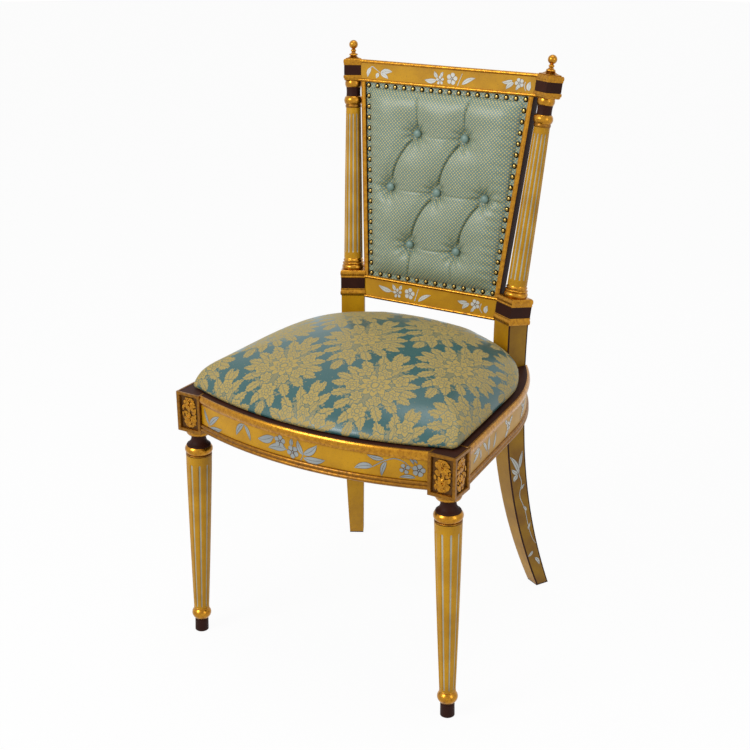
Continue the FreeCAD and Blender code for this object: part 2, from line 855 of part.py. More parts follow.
def finial(word, side, top):
    body = new_body("finial_" + word, lean_frame(side, top))
    base = loop_sketch(body, lean_frame(side, top), square_points(size.finial_base / 2))
    pad(body, base, size.finial_base_tall)
    flare = []
    for width, up in ((size.finial_base, size.finial_base_tall), (size.finial_waist, size.finial_waist_up),
                      (size.finial_neck, size.finial_neck_up)):
        flare.append(loop_sketch(body, lean_frame(side, top + up), square_points(width / 2)))
    loft(body, flare)
    ball_foot = size.finial_ball_up - root(size.finial_ball * size.finial_ball
                                           - size.finial_stalk * size.finial_stalk)
    points = ((0, 0), (size.finial_stalk, 0), (size.finial_stalk, size.finial_bead_up - size.finial_stalk),
              (size.finial_stalk, size.finial_bead_up + size.finial_stalk), (size.finial_stalk, ball_foot),
              (0, size.finial_ball_up + size.finial_ball))
    arcs = {2: (size.finial_bead_round, 1), 4: (size.finial_ball, 1)}
    revolve(body, loop_sketch(body, upright(lean_frame(side, top)), points, arcs))
    pad(body, circle_sketch(body, lean_frame(side, top), size.finial_dowel - size.fit_gap),
        size.finial_dowel_long, backwards=True)
    return keep(body)


# Seat rails and their beads

def rail_section(face):
    """A seat rail's section beside the vertical axis of its bend, for an outer face at this radius."""
    return box_points(face - size.rail_thick, face, size.rail_low, size.seat_top), {}


def top_bead_section(face):
    top = size.seat_top
    step = face + size.top_bead_step
    round_foot = top - size.top_bead_round
    foot = top - size.top_bead_tall
    lift = step + size.top_bead_lift
    points = ((face, foot), (step, foot), (step, round_foot), (lift, round_foot), (lift, top), (face, top))
    return points, {3: (size.top_bead_radius, 1)}


def low_bead_section(face):
    low = size.rail_low
    step = face + size.low_bead_step
    middle = low + size.low_bead_round
    upper = low + size.low_bead_tall
    points = ((face, low), (step, low), (step, middle), (step, upper), (face, upper))
    return points, {1: (size.low_bead_radius, 1), 2: (size.low_bead_radius, 1)}


def front_run(body, section):
    """Sweep a section round the bow of the front rail and square its ends to the legs."""
    points, arcs = section(bow_face)
    place = upright(frame(y=bow_centre, angle=-90))
    revolve(body, loop_sketch(body, place, points, arcs), size.bow_sweep, symmetric=True)
    for word, side in SIDES:
        outline = box_points(side * block_inner, side * (block_inner + size.overrun),
                             -size.bow_radius, 0)
        pocket(body, loop_sketch(body, frame(z=size.seat_top + size.quirk), outline), size.wide_cut)


def side_run(body, side, section):
    """Run a section straight back from the leg, then round the bend to the back post."""
    points, arcs = section(side_face)
    if side < 0:
        points = sided(side, points)
        arcs = {number: (radius, -turn) for number, (radius, turn) in arcs.items()}
    place = upright(bend_frame(side, size.side_taper))
    straight = side_reach / cosine(size.side_taper) + size.trim_allowance
    pad(body, loop_sketch(body, place, points, arcs), straight)
    bend = loop_sketch(body, place, points, arcs)
    revolve(body, bend, side_end_turn, backwards=side < 0)
    ahead = box_points(-size.bow_radius, size.bow_radius, -size.bow_radius, block_rear)
    pocket(body, loop_sketch(body, frame(z=size.seat_top + size.quirk), ahead), size.wide_cut)
    inside = box_points(-side * size.wide_cut, side * post_half, -size.wide_cut, size.overrun)
    pocket(body, loop_sketch(body, post_frame(side, size.seat_top + size.quirk), inside), size.wide_cut)


def tenon(body, place, outline):
    pad(body, loop_sketch(body, place, outline), tenon_tall, backwards=True)


def front_rail():
    body = new_body("seat_rail_front")
    front_run(body, rail_section)
    for word, side in SIDES:
        outline = box_points(side * (block_inner - size.tenon_root),
                             side * (block_inner + size.tenon_long),
                             front_tenon_y - size.tenon_thick / 2, front_tenon_y + size.tenon_thick / 2)
        tenon(body, frame(z=tenon_top), outline)
    return body


def side_rail(word, side):
    body = new_body("seat_rail_" + word)
    side_run(body, side, rail_section)
    outline = box_points(side * side_tenon_x - size.tenon_thick / 2, side * side_tenon_x + size.tenon_thick / 2,
                         block_rear - size.tenon_long, block_rear + size.tenon_root)
    tenon(body, frame(z=tenon_top), outline)
    middle = side_face - size.rail_thick / 2
    outline = sided(side, box_points(middle - size.tenon_thick / 2, middle + size.tenon_thick / 2,
                                     -size.tenon_root, size.tenon_long))
    tenon(body, rail_end_frame(side, tenon_top), outline)
    return body


def back_rail():
    body = new_body("seat_rail_back")
    half = size.back_rail_thick / 2
    outline = box_points(-size.post_x, size.post_x, back_rail_y - half, back_rail_y + half)
    pad(body, loop_sketch(body, frame(z=size.rail_low), outline), rail_tall)
    for word, side in SIDES:
        outside = box_points(-side * post_half, side * size.overrun, -size.overrun, size.overrun)
        place = post_frame(side, size.seat_top + size.quirk)
        pocket(body, loop_sketch(body, place, outside), size.wide_cut)
    long = box_points(-size.post_x, size.post_x,
                      back_rail_y - size.tenon_thick / 2, back_rail_y + size.tenon_thick / 2)
    tenon(body, frame(z=tenon_top), long)
    return body


def bead(name, side, section):
    body = new_body(name)
    if side:
        side_run(body, side, section)
    else:
        front_run(body, section)
    return keep(body)


# Carved panels on the corner blocks

def carving(name, place):
    """Two rosettes of petals, one above the other, on a thin plate in the sunk panel."""
    body = new_body(name, place)
    wide = size.panel_wide / 2 - size.fit_gap
    tall = size.panel_tall / 2 - size.fit_gap
    floor = place.multiply(frame(z=-size.panel_deep))
    pad(body, loop_sketch(body, floor, box_points(-wide, wide, -tall, tall)), size.carving_base)
    relief = size.panel_deep - size.carving_base
    reach = size.carving_pitch / 2 - size.fit_gap
    swell = reach * PETAL_SWELL_SHARE
    half = size.carving_petal / 2
    bulge = size.carving_petal_round
    for up in (-size.carving_pitch / 2, size.carving_pitch / 2):
        heart = floor.multiply(frame(y=up, z=size.carving_base))
        for number in range(PETALS):
            petal = heart.multiply(frame(angle=number * 360 / PETALS))
            points = ((0, 0), (half, swell), (0, reach), (-half, swell))
            sketch = loop_sketch(body, petal, points, {1: (bulge, 1), 2: (bulge, 1)})
            pad(body, sketch, size.carving_petal_tall)
        dome = ((0, 0), (size.carving_heart, 0), (0, relief))
        curve = (size.carving_heart * size.carving_heart + relief * relief) / (2 * relief)
        revolve(body, loop_sketch(body, upright(heart), dome, {1: (curve, 1)}))
    return keep(body)


# Seat deck, cushion and dust cloth

def deck_points(grow):
    """Plan of a sheet inside the seat rails, or under them when it grows; notched round legs and posts."""
    gap = size.notch_gap
    bow = bow_inner + grow
    leg_in = block_inner - gap
    leg_back = block_rear + gap
    radius = side_inner + grow
    straight_x = side_centre_x + radius * cosine(size.side_taper)
    straight_y = side_centre_y + radius * sine(size.side_taper)
    side_x = straight_x + (straight_y - leg_back) * tangent(size.side_taper)
    rear = size.board_rear
    rear_x = side_centre_x + root(radius * radius - (rear - side_centre_y) * (rear - side_centre_y))
    tongue_y = back_rail_face + grow
    half = size.board_tongue_half
    right = [(leg_in, bow_centre - root(bow * bow - leg_in * leg_in)), (leg_in, leg_back),
             (side_x, leg_back), (straight_x, straight_y), (rear_x, rear), (half, rear), (half, tongue_y)]
    left = [(-x, y) for x, y in reversed(right)]
    points = right + left
    arcs = {3: (radius, 1), 9: (radius, 1), 13: (bow, 1)}
    return points, arcs


def deck_sheet(name, grow, top, thick):
    body = new_body(name)
    points, arcs = deck_points(grow)
    pad(body, loop_sketch(body, frame(z=top), points, arcs), thick, backwards=True)
    return keep(body)


def cushion_section(share, rise, up):
    """The cushion's plan outline at a height, drawn in about its middle, which drifts back as it rises."""
    bow = size.bow_radius - size.cushion_front_inset
    radius = size.side_radius - size.cushion_side_inset
    taper = size.side_taper
    straight_x = side_centre_x + radius * cosine(taper)
    straight_y = side_centre_y + radius * sine(taper)
    corner = size.cushion_corner
    edge_y = bow_centre - root(bow * bow - straight_x * straight_x) + corner
    edge_x = straight_x + (straight_y - edge_y) * tangent(taper)
    front_x = edge_x - corner
    front_y = bow_centre - root(bow * bow - front_x * front_x)
    bend = size.cushion_bend
    bend_x = side_centre_x + radius * cosine(bend)
    bend_y = side_centre_y + radius * sine(bend)
    rear_radius = size.cushion_rear_radius
    turn = size.cushion_rear_turn
    rear_x = bend_x - rear_radius * (cosine(bend) - cosine(turn))
    rear_y = bend_y + rear_radius * (sine(turn) - sine(bend))
    flank_x = rear_x - size.cushion_flank * sine(turn)
    flank_y = rear_y + size.cushion_flank * cosine(turn)
    right = [(front_x, front_y), (edge_x, edge_y), (straight_x, straight_y), (bend_x, bend_y),
             (rear_x, rear_y), (flank_x, flank_y), (flank_x - size.cushion_tail, size.cushion_rear)]
    middle = -size.cushion_middle
    drift = size.cushion_drift * rise
    scaled = [(x * share, middle + drift + (y - middle) * share) for x, y in right]
    points = scaled + [(-x, y) for x, y in reversed(scaled)]
    corner_round = size.cushion_corner_round
    arcs = {0: (corner_round * share, 1), 2: (radius * share, 1), 3: (rear_radius * share, 1),
            9: (rear_radius * share, 1), 10: (radius * share, 1), 12: (corner_round * share, 1),
            13: (bow * share, 1)}
    return frame(z=up), points, arcs


def cushion_body(name, inward):
    """A crowned cushion; inward is how far its skin lies inside the outer cover."""
    body = new_body(name)
    base = size.seat_top + size.fit_gap
    tall = size.cushion_height - inward
    shrink = as_size(inward) * 2 / size.front_span
    sections = []
    for share, rise in CUSHION_SHARES:
        place, points, arcs = cushion_section(as_size(share) - shrink, rise, base + tall * rise)
        sections.append(loop_sketch(body, place, points, arcs))
    loft(body, sections)
    return body


# Frame of the back

def panel_edge(up):
    """Half the width of the upholstered panel at a distance up the back."""
    slope = (size.panel_high_half - size.panel_low_half) / (size.panel_high - size.panel_low)
    return size.panel_low_half + (up - size.panel_low) * slope


def trim_to_posts(body, half):
    for word, side in SIDES:
        outside = box_points(-side * half, side * size.wide_cut, -size.wide_cut, size.wide_cut)
        place = post_frame(side, size.seat_top + size.tall_cut - size.overrun)
        pocket(body, loop_sketch(body, place, outside), size.tall_cut)


def back_sheet(body, points, front, thick):
    """A flat piece in the plane of the back: its outline, how far its face lies behind the posts' line."""
    place = upright(back_frame(0, front))
    return pad(body, loop_sketch(body, place, points), thick, backwards=True)


def rail_of_back(name, upper, posts):
    """A rail of the back, with a lip behind the panel, a tenon in each post and a socket for each stile."""
    low, high, half = back_rail_levels()[1 if upper else 0]
    body = new_body(name + "_blank", back_frame())
    long = size.post_x + size.overrun
    back_sheet(body, box_points(-long, long, low, high), -size.back_front, size.back_thick)
    trim_to_posts(body, half)
    lip_low = low - size.lip_wide if upper else high - size.quirk
    lip_high = low + size.quirk if upper else high + size.lip_wide
    lip_half = panel_edge(lip_low) - size.lip_wide - size.fit_gap
    back_sheet(body, box_points(-lip_half, lip_half, lip_low, lip_high), lip_front, size.lip_thick)
    reach = back_tenon_reach(low, high, half)
    depth = size.back_thick / 2 - size.back_front
    outline = box_points(-reach, reach, depth - size.back_tenon_thick / 2, depth + size.back_tenon_thick / 2)
    tall = high - low - 2 * size.tenon_shoulder
    pad(body, loop_sketch(body, back_frame(high - size.tenon_shoulder), outline), tall, backwards=True)
    # Sockets for the tongues of the stiles
    for word, side in SIDES:
        points = tongue_points(side, upper, size.fit_gap, 0)
        place = upright(back_frame(0, tongue_front + size.tongue_thick + size.fit_gap))
        pocket(body, loop_sketch(body, place, points), size.tongue_thick + 2 * size.fit_gap, backwards=True)
    return cut_away(name, body, posts)


def tongue_points(side, upper, gap, root_long):
    """The tongue at one end of a stile, or its socket when there is a gap round it."""
    inner = side * (panel_edge(size.panel_high if upper else size.panel_low) + size.quirk - gap)
    outer = inner + side * (size.stile_wide - 2 * size.quirk + 2 * gap)
    if upper:
        return box_points(inner, outer, size.panel_high - root_long, size.panel_high + size.tongue_long + gap)
    return box_points(inner, outer, size.panel_low - size.tongue_long - gap, size.panel_low + root_long)


def stile(word, side):
    body = new_body("back_stile_" + word, back_frame())
    low = size.panel_low
    high = size.panel_high
    bar = ((side * panel_edge(low), low), (side * (panel_edge(low) + size.stile_wide), low),
           (side * (panel_edge(high) + size.stile_wide), high), (side * panel_edge(high), high))
    back_sheet(body, bar, -size.back_front, size.back_thick)
    lip = ((side * (panel_edge(low) - size.lip_wide), low), (side * (panel_edge(low) + size.quirk), low),
           (side * (panel_edge(high) + size.quirk), high), (side * (panel_edge(high) - size.lip_wide), high))
    back_sheet(body, lip, lip_front, size.lip_thick)
    for upper in (True, False):
        back_sheet(body, tongue_points(side, upper, 0, size.quirk), tongue_front, size.tongue_thick)
    return keep(body)


def back_strip(name, low, half, posts):
    """A gilt half-round strip along a rail of the back, coped to the blocks at both ends."""
    body = new_body(name + "_blank", back_frame())
    face = -size.back_front
    step = face - size.strip_step
    high = low + size.strip_tall
    points = ((face, low), (face, high), (step, high), (step, low))
    sketch = loop_sketch(body, edgeways(back_frame()), points, {2: (size.strip_radius, 1)})
    pad(body, sketch, (size.post_x + size.overrun) * 2, symmetric=True)
    trim_to_posts(body, half)
    return cut_away(name, body, posts)


# Upholstery of the back

def panel_points(inset):
    low = size.panel_low + inset
    high = size.panel_high - inset
    return ((-(panel_edge(low) - inset), low), (panel_edge(low) - inset, low),
            (panel_edge(high) - inset, high), (-(panel_edge(high) - inset), high))


def back_pad_body(name, inward):
    """The buttoned pad: a flat nailed border, a crown and seven tufts; inward as for the cushion."""
    body = new_body(name, back_frame())
    middle = (size.panel_low + size.panel_high) / 2
    face = border_front + inward
    back_sheet(body, panel_points(size.fit_gap + inward), face, board_front - size.fit_gap - face)
    low_half = panel_edge(size.panel_low)
    high_half = panel_edge(size.panel_high)
    half_tall = (size.panel_high - size.panel_low) / 2
    sections = []
    for share, rise in BACK_PAD_SHARES:
        share = as_size(share) - as_size(inward) / low_half
        low = middle - half_tall * share
        high = middle + half_tall * share
        points = ((-low_half * share, low), (low_half * share, low), (high_half * share, high),
                  (-high_half * share, high))
        sections.append(loop_sketch(body, upright(back_frame(0, face - size.back_crown * rise)), points))
    loft(body, sections)
    for across, up in TUFT_SHARES:
        floor = size.tuft_floor - inward
        high = size.back_crown + size.overrun
        points = ((0, floor), (size.button_radius + size.fit_gap + inward, floor),
                  (size.tuft_mouth + inward, size.back_crown - inward), (size.tuft_mouth + inward, high), (0, high))
        groove(body, loop_sketch(body, upright(tuft_frame(across, up)), points, {1: (size.tuft_round, -1)}))
    return body


def tuft_frame(across, up):
    """On the border's level at a tuft, with Z pointing out of the back."""
    spot = back_frame(size.tuft_middle + size.tuft_rise * up, border_front)
    return spot.multiply(frame(x=size.tuft_spread * across)).multiply(frame(axis=X_AXIS, angle=90))


def buttons():
    body = new_body("button_pattern")
    points = ((0, 0), (size.button_radius, 0), (0, size.button_tall))
    bulge = (size.button_radius * size.button_radius + size.button_tall * size.button_tall) / (2 * size.button_tall)
    revolve(body, loop_sketch(body, upright(WORLD), points, {1: (bulge, 1)}))
    doc.recompute()
    lift = size.tuft_floor + size.fit_gap
    places = [tuft_frame(across, up).multiply(frame(z=lift)) for across, up in TUFT_SHARES]
    return copies("back_buttons", body, places)


def nail_spots():
    """Where the nail heads stand: across the top and the foot, and up both sides."""
    margin = size.nail_margin
    low = size.panel_low + margin
    high = size.panel_high - margin
    low_half = panel_edge(low) - margin
    high_half = panel_edge(high) - margin
    spots = []
    for count, half, up in ((NAILS_ACROSS_TOP, high_half, high), (NAILS_ACROSS_FOOT, low_half, low)):
        for number in range(count):
            spots.append((half * (2 * number / (count - 1) - 1), up))
    for side in (1, -1):
        for number in range(1, NAILS_UP_SIDE + 1):
            share = number / (NAILS_UP_SIDE + 1)
            spots.append((side * (low_half + (high_half - low_half) * share), low + (high - low) * share))
    return spots


def nails():
    body = new_body("nail_pattern")
    points = ((0, 0), (size.nail_radius, 0), (0, size.nail_tall))
    bulge = (size.nail_radius * size.nail_radius + size.nail_tall * size.nail_tall) / (2 * size.nail_tall)
    revolve(body, loop_sketch(body, upright(WORLD), points, {1: (bulge, 1)}))
    doc.recompute()
    lift = border_front - size.fit_gap
    places = []
    for x, up in nail_spots():
        places.append(upright(back_frame(up, lift).multiply(frame(x=x))))
    return copies("back_nails", body, places)


# Corner blocks and screws

def bow_y(radius, x):
    """How far forward the bow of the front lies at a distance from the middle line."""
    return bow_centre - root(radius * radius - x * x)


def side_inner_x(y):
    """The inner face of a side rail's straight run, at a distance behind the middle of the chair."""
    straight_x = side_centre_x + side_inner * cosine(size.side_taper)
    straight_y = side_centre_y + side_inner * sine(size.side_taper)
    return straight_x + (straight_y - y) * tangent(size.side_taper)


def bend_point(radius, turn):
    return side_centre_x + radius * cosine(turn), side_centre_y + radius * sine(turn)


def front_brace_points():
    """Plan of a front corner block before it is scribed to the rails and the leg."""
    bite = size.brace_bite
    on_bow = block_inner - size.brace_reach
    by_leg = block_inner - size.quirk
    on_side = block_rear + size.brace_reach
    return ((on_bow, bow_y(bow_inner + bite, on_bow)), (by_leg, bow_y(bow_inner + bite, by_leg)),
            (block_inner + bite, block_rear - 2 * bite), (side_inner_x(block_rear) + bite, block_rear + bite),
            (side_inner_x(on_side) + bite, on_side))


def rear_brace_points():
    """Plan of a rear corner block before it is scribed to the rails and the post."""
    behind = back_rail_face + size.brace_bite / 2
    middle = side_inner + size.rail_thick / 2
    return ((size.brace_rear_from, behind), (size.board_tongue_half + size.brace_bite, behind),
            (size.post_x, size.post_y + 2 * size.quirk), bend_point(middle, size.brace_post_turn),
            bend_point(middle, size.brace_flank_turn))


def screw_line(side, x, y, turn):
    """On the inner face of a rail, with Z pointing into the wood; turn is measured from straight ahead."""
    return frame(side * x, y, screw_level, angle=side * turn).multiply(frame(axis=X_AXIS, angle=90))


def front_screw_lines(side):
    """The two screws of a front corner block: into the front rail and into the side rail."""
    lean = math.degrees(math.asin(size.screw_on_front.number / bow_inner.number))
    along = block_rear + size.screw_on_side
    return (screw_line(side, size.screw_on_front, bow_y(bow_inner, size.screw_on_front), lean),
            screw_line(side, side_inner_x(along), along, size.side_taper + 90))


def rear_screw_lines(side):
    """The two screws of a rear corner block: into the side rail's bend and into the back rail."""
    x, y = bend_point(side_inner, size.screw_on_bend)
    return (screw_line(side, x, y, size.screw_on_bend + 90),
            screw_line(side, size.screw_on_back, back_rail_face, 180))


def deck_screw_places(side):
    """Where the seat board is screwed down to a front and to a rear corner block, on their undersides."""
    low = brace_top - size.brace_tall
    return (frame(side * size.deck_screw_front_x, -size.deck_screw_front_y, low),
            frame(side * size.deck_screw_rear_x, size.deck_screw_rear_y, low))


def brace(name, side, points, lines, deck_place, tools):
    body = new_body(name + "_blank")
    pad(body, loop_sketch(body, frame(z=brace_top), sided(side, points)), size.brace_tall, backwards=True)
    for line in lines:
        seat = line.multiply(frame(z=size.screw_bite - size.screw_long))
        bore(body, seat, size.screw_radius, size.screw_long)
        bore(body, seat.multiply(frame(axis=X_AXIS, angle=180)),
             size.screw_head_radius + size.fit_gap, size.overrun)
    bore(body, deck_place, size.screw_radius, size.brace_tall)
    return cut_away(name, body, tools)


def rail_bores(body, lines):
    """Pilot holes for the screws of the corner blocks."""
    for line in lines:
        start = line.multiply(frame(z=-size.quirk))
        bore(body, start, size.screw_radius, size.screw_bite + size.quirk + size.fit_gap)


def screws(name, long, places):
    """Countersunk screws, alike, with the underside of the head at each place."""
    body = new_body(name + "_pattern")
    radius = size.screw_radius
    points = ((0, -size.screw_head_tall), (size.screw_head_radius, -size.screw_head_tall),
              (size.screw_head_radius, 0), (radius, 0), (radius, long - radius), (0, long))
    revolve(body, loop_sketch(body, upright(WORLD), points))
    doc.recompute()
    return copies(name, body, places)


# The whole chair

def soft_pair(make, cover, foam):
    """A cover with its stuffing: the stuffing lies just inside the cloth, on the board."""
    shell = cut_away(cover, make(cover + "_outside", 0), [make(cover + "_inside", size.cloth)])
    stuffing = keep(make(foam, size.cloth + size.fit_gap))
    return shell, stuffing


def build_seat(legs, posts):
    front = front_rail()
    sides = {word: side_rail(word, side) for word, side in SIDES}
    rear = back_rail()
    brace_places = []
    deck_places = []
    for word, side in SIDES:
        ahead = front_screw_lines(side)
        behind = rear_screw_lines(side)
        below = deck_screw_places(side)
        rail_bores(front, ahead[:1])
        rail_bores(sides[word], (ahead[1], behind[0]))
        rail_bores(rear, behind[1:])
        brace("corner_brace_front_" + word, side, front_brace_points(), ahead, below[0],
              [front, sides[word], legs[word]])
        brace("corner_brace_rear_" + word, side, rear_brace_points(), behind, below[1],
              [rear, posts[word], sides[word]])
        for line in ahead + behind:
            brace_places.append(line.multiply(frame(z=size.screw_bite - size.screw_long)))
        deck_places.extend(below)
    for rail in (front, rear, *sides.values()):
        keep(rail)
    for word, side in (("front", 0),) + SIDES:
        bead("bead_top_" + word, side, top_bead_section)
        bead("bead_low_" + word, side, low_bead_section)
    screws("brace_screws", size.screw_long, brace_places)
    screws("deck_screws", size.brace_tall + size.deck_screw_bite, deck_places)
    deck = deck_sheet("seat_board", -size.board_gap, size.seat_top, size.seat_board)
    for place in deck_places:
        bore(deck, place.multiply(frame(z=size.brace_tall - size.quirk)), size.screw_radius,
             size.deck_screw_bite + size.quirk + size.fit_gap)
    deck_sheet("dust_cover", size.dust_lap, size.rail_low, size.dust_cloth)
    soft_pair(cushion_body, "seat_cover", "seat_foam")


def build_back(posts):
    blocks = [posts[word] for word, side in SIDES]
    rail_of_back("back_rail_top", True, blocks)
    rail_of_back("back_rail_bottom", False, blocks)
    for word, side in SIDES:
        stile(word, side)
    cap_half = size.cap_band_width / 2
    plinth_half = size.plinth_width / 2
    back_strip("back_strip_crest", size.back_high - size.strip_tall, cap_half, blocks)
    back_strip("back_strip_upper", size.panel_high, cap_half, blocks)
    back_strip("back_strip_lower", size.panel_low - size.strip_tall, plinth_half, blocks)
    back_strip("back_strip_foot", size.back_low, plinth_half, blocks)
    board = new_body("back_board", back_frame())
    back_sheet(board, panel_points(size.fit_gap), board_front, size.board_thick)
    keep(board)
    soft_pair(back_pad_body, "back_cover", "back_foam")
    outside = new_body("outside_back", back_frame())
    outside_front = size.back_thick - size.back_front
    back_sheet(outside, panel_points(-size.outside_back_lap), outside_front, size.outside_back_thick)
    keep(outside)
    buttons()
    nails()


def build_chair():
    legs = {}
    posts = {}
    for word, side in SIDES:
        legs[word] = front_leg(word, side)
        for face, place in zip(("front", "side"), carving_places(side)):
            carving("carving_%s_%s" % (face, word), place)
        posts[word], top = back_post(word, side)
        finial(word, side, top)
    build_seat(legs, posts)
    build_back(posts)


def check_document():
    doc.recompute()
    for thing in doc.Objects:
        if "Invalid" in thing.State or "Error" in thing.State:
            raise RuntimeError("%s does not compute: %s" % (thing.Name, thing.State))
        if hasattr(thing, "Shape") and thing in PIECES and (thing.Shape.isNull() or not thing.Shape.isValid()):
            raise RuntimeError("%s has no sound shape" % thing.Label)
    labels = [piece.Label for piece in PIECES]
    if len(set(labels)) != len(labels):
        raise RuntimeError("two pieces share one name")


build_chair()
check_document()
os.makedirs("parts", exist_ok=True)
for piece in PIECES:
    piece.Shape.exportStep("parts/%s.step" % piece.Label)
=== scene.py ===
# %% [markdown]
# A painted and gilded side chair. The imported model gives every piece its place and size. This script gives
# each one its looks: turned and fluted legs, gilt mouldings, painted sprays, a damask seat and a buttoned
# back.

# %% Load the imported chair
import bmesh
import bpy
import math
import random
from mathutils import Matrix, Vector, noise


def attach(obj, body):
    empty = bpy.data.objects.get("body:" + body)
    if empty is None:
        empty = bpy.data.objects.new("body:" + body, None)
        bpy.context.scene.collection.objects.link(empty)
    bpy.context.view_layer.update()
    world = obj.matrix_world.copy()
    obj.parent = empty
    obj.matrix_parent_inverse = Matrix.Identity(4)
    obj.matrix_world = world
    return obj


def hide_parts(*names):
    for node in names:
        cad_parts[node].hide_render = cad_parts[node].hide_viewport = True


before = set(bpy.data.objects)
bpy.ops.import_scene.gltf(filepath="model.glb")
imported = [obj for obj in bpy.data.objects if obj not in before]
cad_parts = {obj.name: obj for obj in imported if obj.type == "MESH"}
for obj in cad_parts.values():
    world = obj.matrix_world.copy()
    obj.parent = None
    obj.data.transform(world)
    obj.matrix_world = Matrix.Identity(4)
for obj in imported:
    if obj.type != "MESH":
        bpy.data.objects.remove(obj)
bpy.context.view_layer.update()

print("nodes in the frame:", len(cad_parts))

# %% [markdown]
# The real chair was measured in millimetres and Blender works in metres, so sizes are written in millimetres
# and scaled once, where a vertex is placed. Three slanted frames come back again and again: a front leg leans
# out a little, a back post is turned on its own axis and raked, and the back's panel is raked between them.

# %% Sizes in millimetres, and the chair's own frames
MM = 0.001
SIDES = (("right", 1), ("left", -1))
SEAT_TOP = 450.5
RAIL_LOW = 388.5
LEG_X, LEG_Y, BLOCK_LOW = 231.0, -200.0, 382.5
BLOCK_WIDE, BLOCK_DEEP = 46.0, 48.0
POST_X, POST_Y, KNEE = 150.3, 155.0, 440.0
POST_TURN, POST_RAKE = math.radians(28.84), math.radians(7.97)
POST_HALF = 20.3
BACK_RAKE = math.atan(math.tan(POST_RAKE) * math.cos(POST_TURN))
LEG_SPLAY = (math.tan(math.radians(1.6)), math.tan(math.radians(1.1)))


def at(x, y, z):
    return Matrix.Translation(Vector((x, y, z)) * MM)


def add_object(name, data):
    """Make an object of some data and put it in the scene."""
    made = bpy.data.objects.new(name, data)
    bpy.context.scene.collection.objects.link(made)
    return made


def leg_frame(side):
    up = Vector((-side * LEG_SPLAY[0], LEG_SPLAY[1], 1)).normalized()
    lean = Vector((0, 0, 1)).rotation_difference(up).to_matrix().to_4x4()
    return at(side * LEG_X, LEG_Y, BLOCK_LOW) @ lean


def post_frame(side, height=0):
    return at(side * POST_X, POST_Y, height) @ Matrix.Rotation(-side * POST_TURN, 4, "Z")


def lean_frame(side, up=0):
    return post_frame(side, KNEE) @ Matrix.Rotation(-POST_RAKE, 4, "X") @ at(0, 0, up)


def back_frame(up=0):
    return at(0, POST_Y, KNEE) @ Matrix.Rotation(-BACK_RAKE, 4, "X") @ at(0, 0, up)


# %% [markdown]
# The camera stands where the photographer stood: to the chair's right, a little above the back's top. The
# place and the lens were worked out from the chair's own straight edges.

# %% Camera
def add_camera(place, azimuth, pitch, field_of_view):
    data = bpy.data.cameras.new("camera")
    data.sensor_width = 36.0
    data.angle = field_of_view
    camera = add_object("camera", data)
    camera.location = place
    camera.rotation_euler = (math.radians(90 - pitch), 0, math.radians(azimuth))
    bpy.context.scene.camera = camera
    return camera


camera = add_camera((1.0020, -1.7150, 1.2334), 30.62, 21.44, 2 * math.atan(375 / 1285.5))
print("camera lens", round(camera.data.lens, 1), "mm")

# %% [markdown]
# A studio for small furniture: a white sweep, one large soft lamp in front on the left, a weaker one on the
# right, and one above. The floor and the surroundings are shown to the camera and to reflections as plain
# white.

# %% Lamps, world and floor
def add_lamp(name, place, target, size, power):
    data = bpy.data.lights.new(name, "AREA")
    data.shape = "RECTANGLE"
    data.size, data.size_y = size
    data.energy = power
    lamp = add_object(name, data)
    lamp.location = place
    lamp.rotation_euler = (Vector(target) - Vector(place)).to_track_quat("-Z", "Y").to_euler()


bpy.context.scene.view_settings.view_transform = "Standard"
add_lamp("key_lamp", (-1.1, -2.3, 2.1), (0, 0, 0.5), (1.1, 1.1), 40)
add_lamp("side_lamp", (2.4, -0.6, 1.5), (0, 0, 0.5), (0.8, 1.5), 9)
add_lamp("top_lamp", (0.1, 0.1, 2.7), (0, 0, 0.4), (1.0, 1.0), 12)


def fill(material, node, inputs):
    """Fill each input of a node, or link it where its value is another node's output."""
    for key, value in inputs.items():
        if isinstance(value, bpy.types.NodeSocket):
            material.node_tree.links.new(value, node.inputs[key])
        else:
            node.inputs[key].default_value = value


def add_node(material, kind, settings=None, inputs=None):
    """Add a node with its settings, or with one operation, and its inputs. Returns the node's outputs."""
    node = material.node_tree.nodes.new("ShaderNode" + kind)
    if isinstance(settings, str):
        settings = {"operation": settings}
    for key, value in (settings or {}).items():
        setattr(node, key, value)
    fill(material, node, inputs or {})
    return node.outputs


BLEND = {"data_type": "RGBA"}


def linear(hex_colour):
    """An sRGB hex colour as Blender's linear colour."""
    channels = [int(hex_colour[place:place + 2], 16) / 255 for place in (1, 3, 5)]
    return tuple(c / 12.92 if c <= 0.04045 else ((c + 0.055) / 1.055) ** 2.4 for c in channels) + (1.0,)


def seen_directly(material):
    """1 for rays from the camera, a reflection or a clear material, and 0 for the light on things."""
    path = add_node(material, "LightPath")
    glossy = add_node(material, "Math", "MAXIMUM", {0: path["Is Camera Ray"], 1: path["Is Glossy Ray"]})
    return add_node(material, "Math", "MAXIMUM", {0: glossy[0], 1: path["Is Transmission Ray"]})[0]


WORLD_LIGHT = 0.42
world = bpy.data.worlds.new("studio")
world.use_nodes = True
world.node_tree.nodes.clear()
strength = add_node(world, "MapRange", {},
                    {"Value": seen_directly(world), "To Min": WORLD_LIGHT, "To Max": 1.0})
sky = add_node(world, "Background", {}, {"Color": (1, 1, 1, 1), "Strength": strength[0]})
add_node(world, "OutputWorld", {}, {"Surface": sky[0]})
bpy.context.scene.world = world


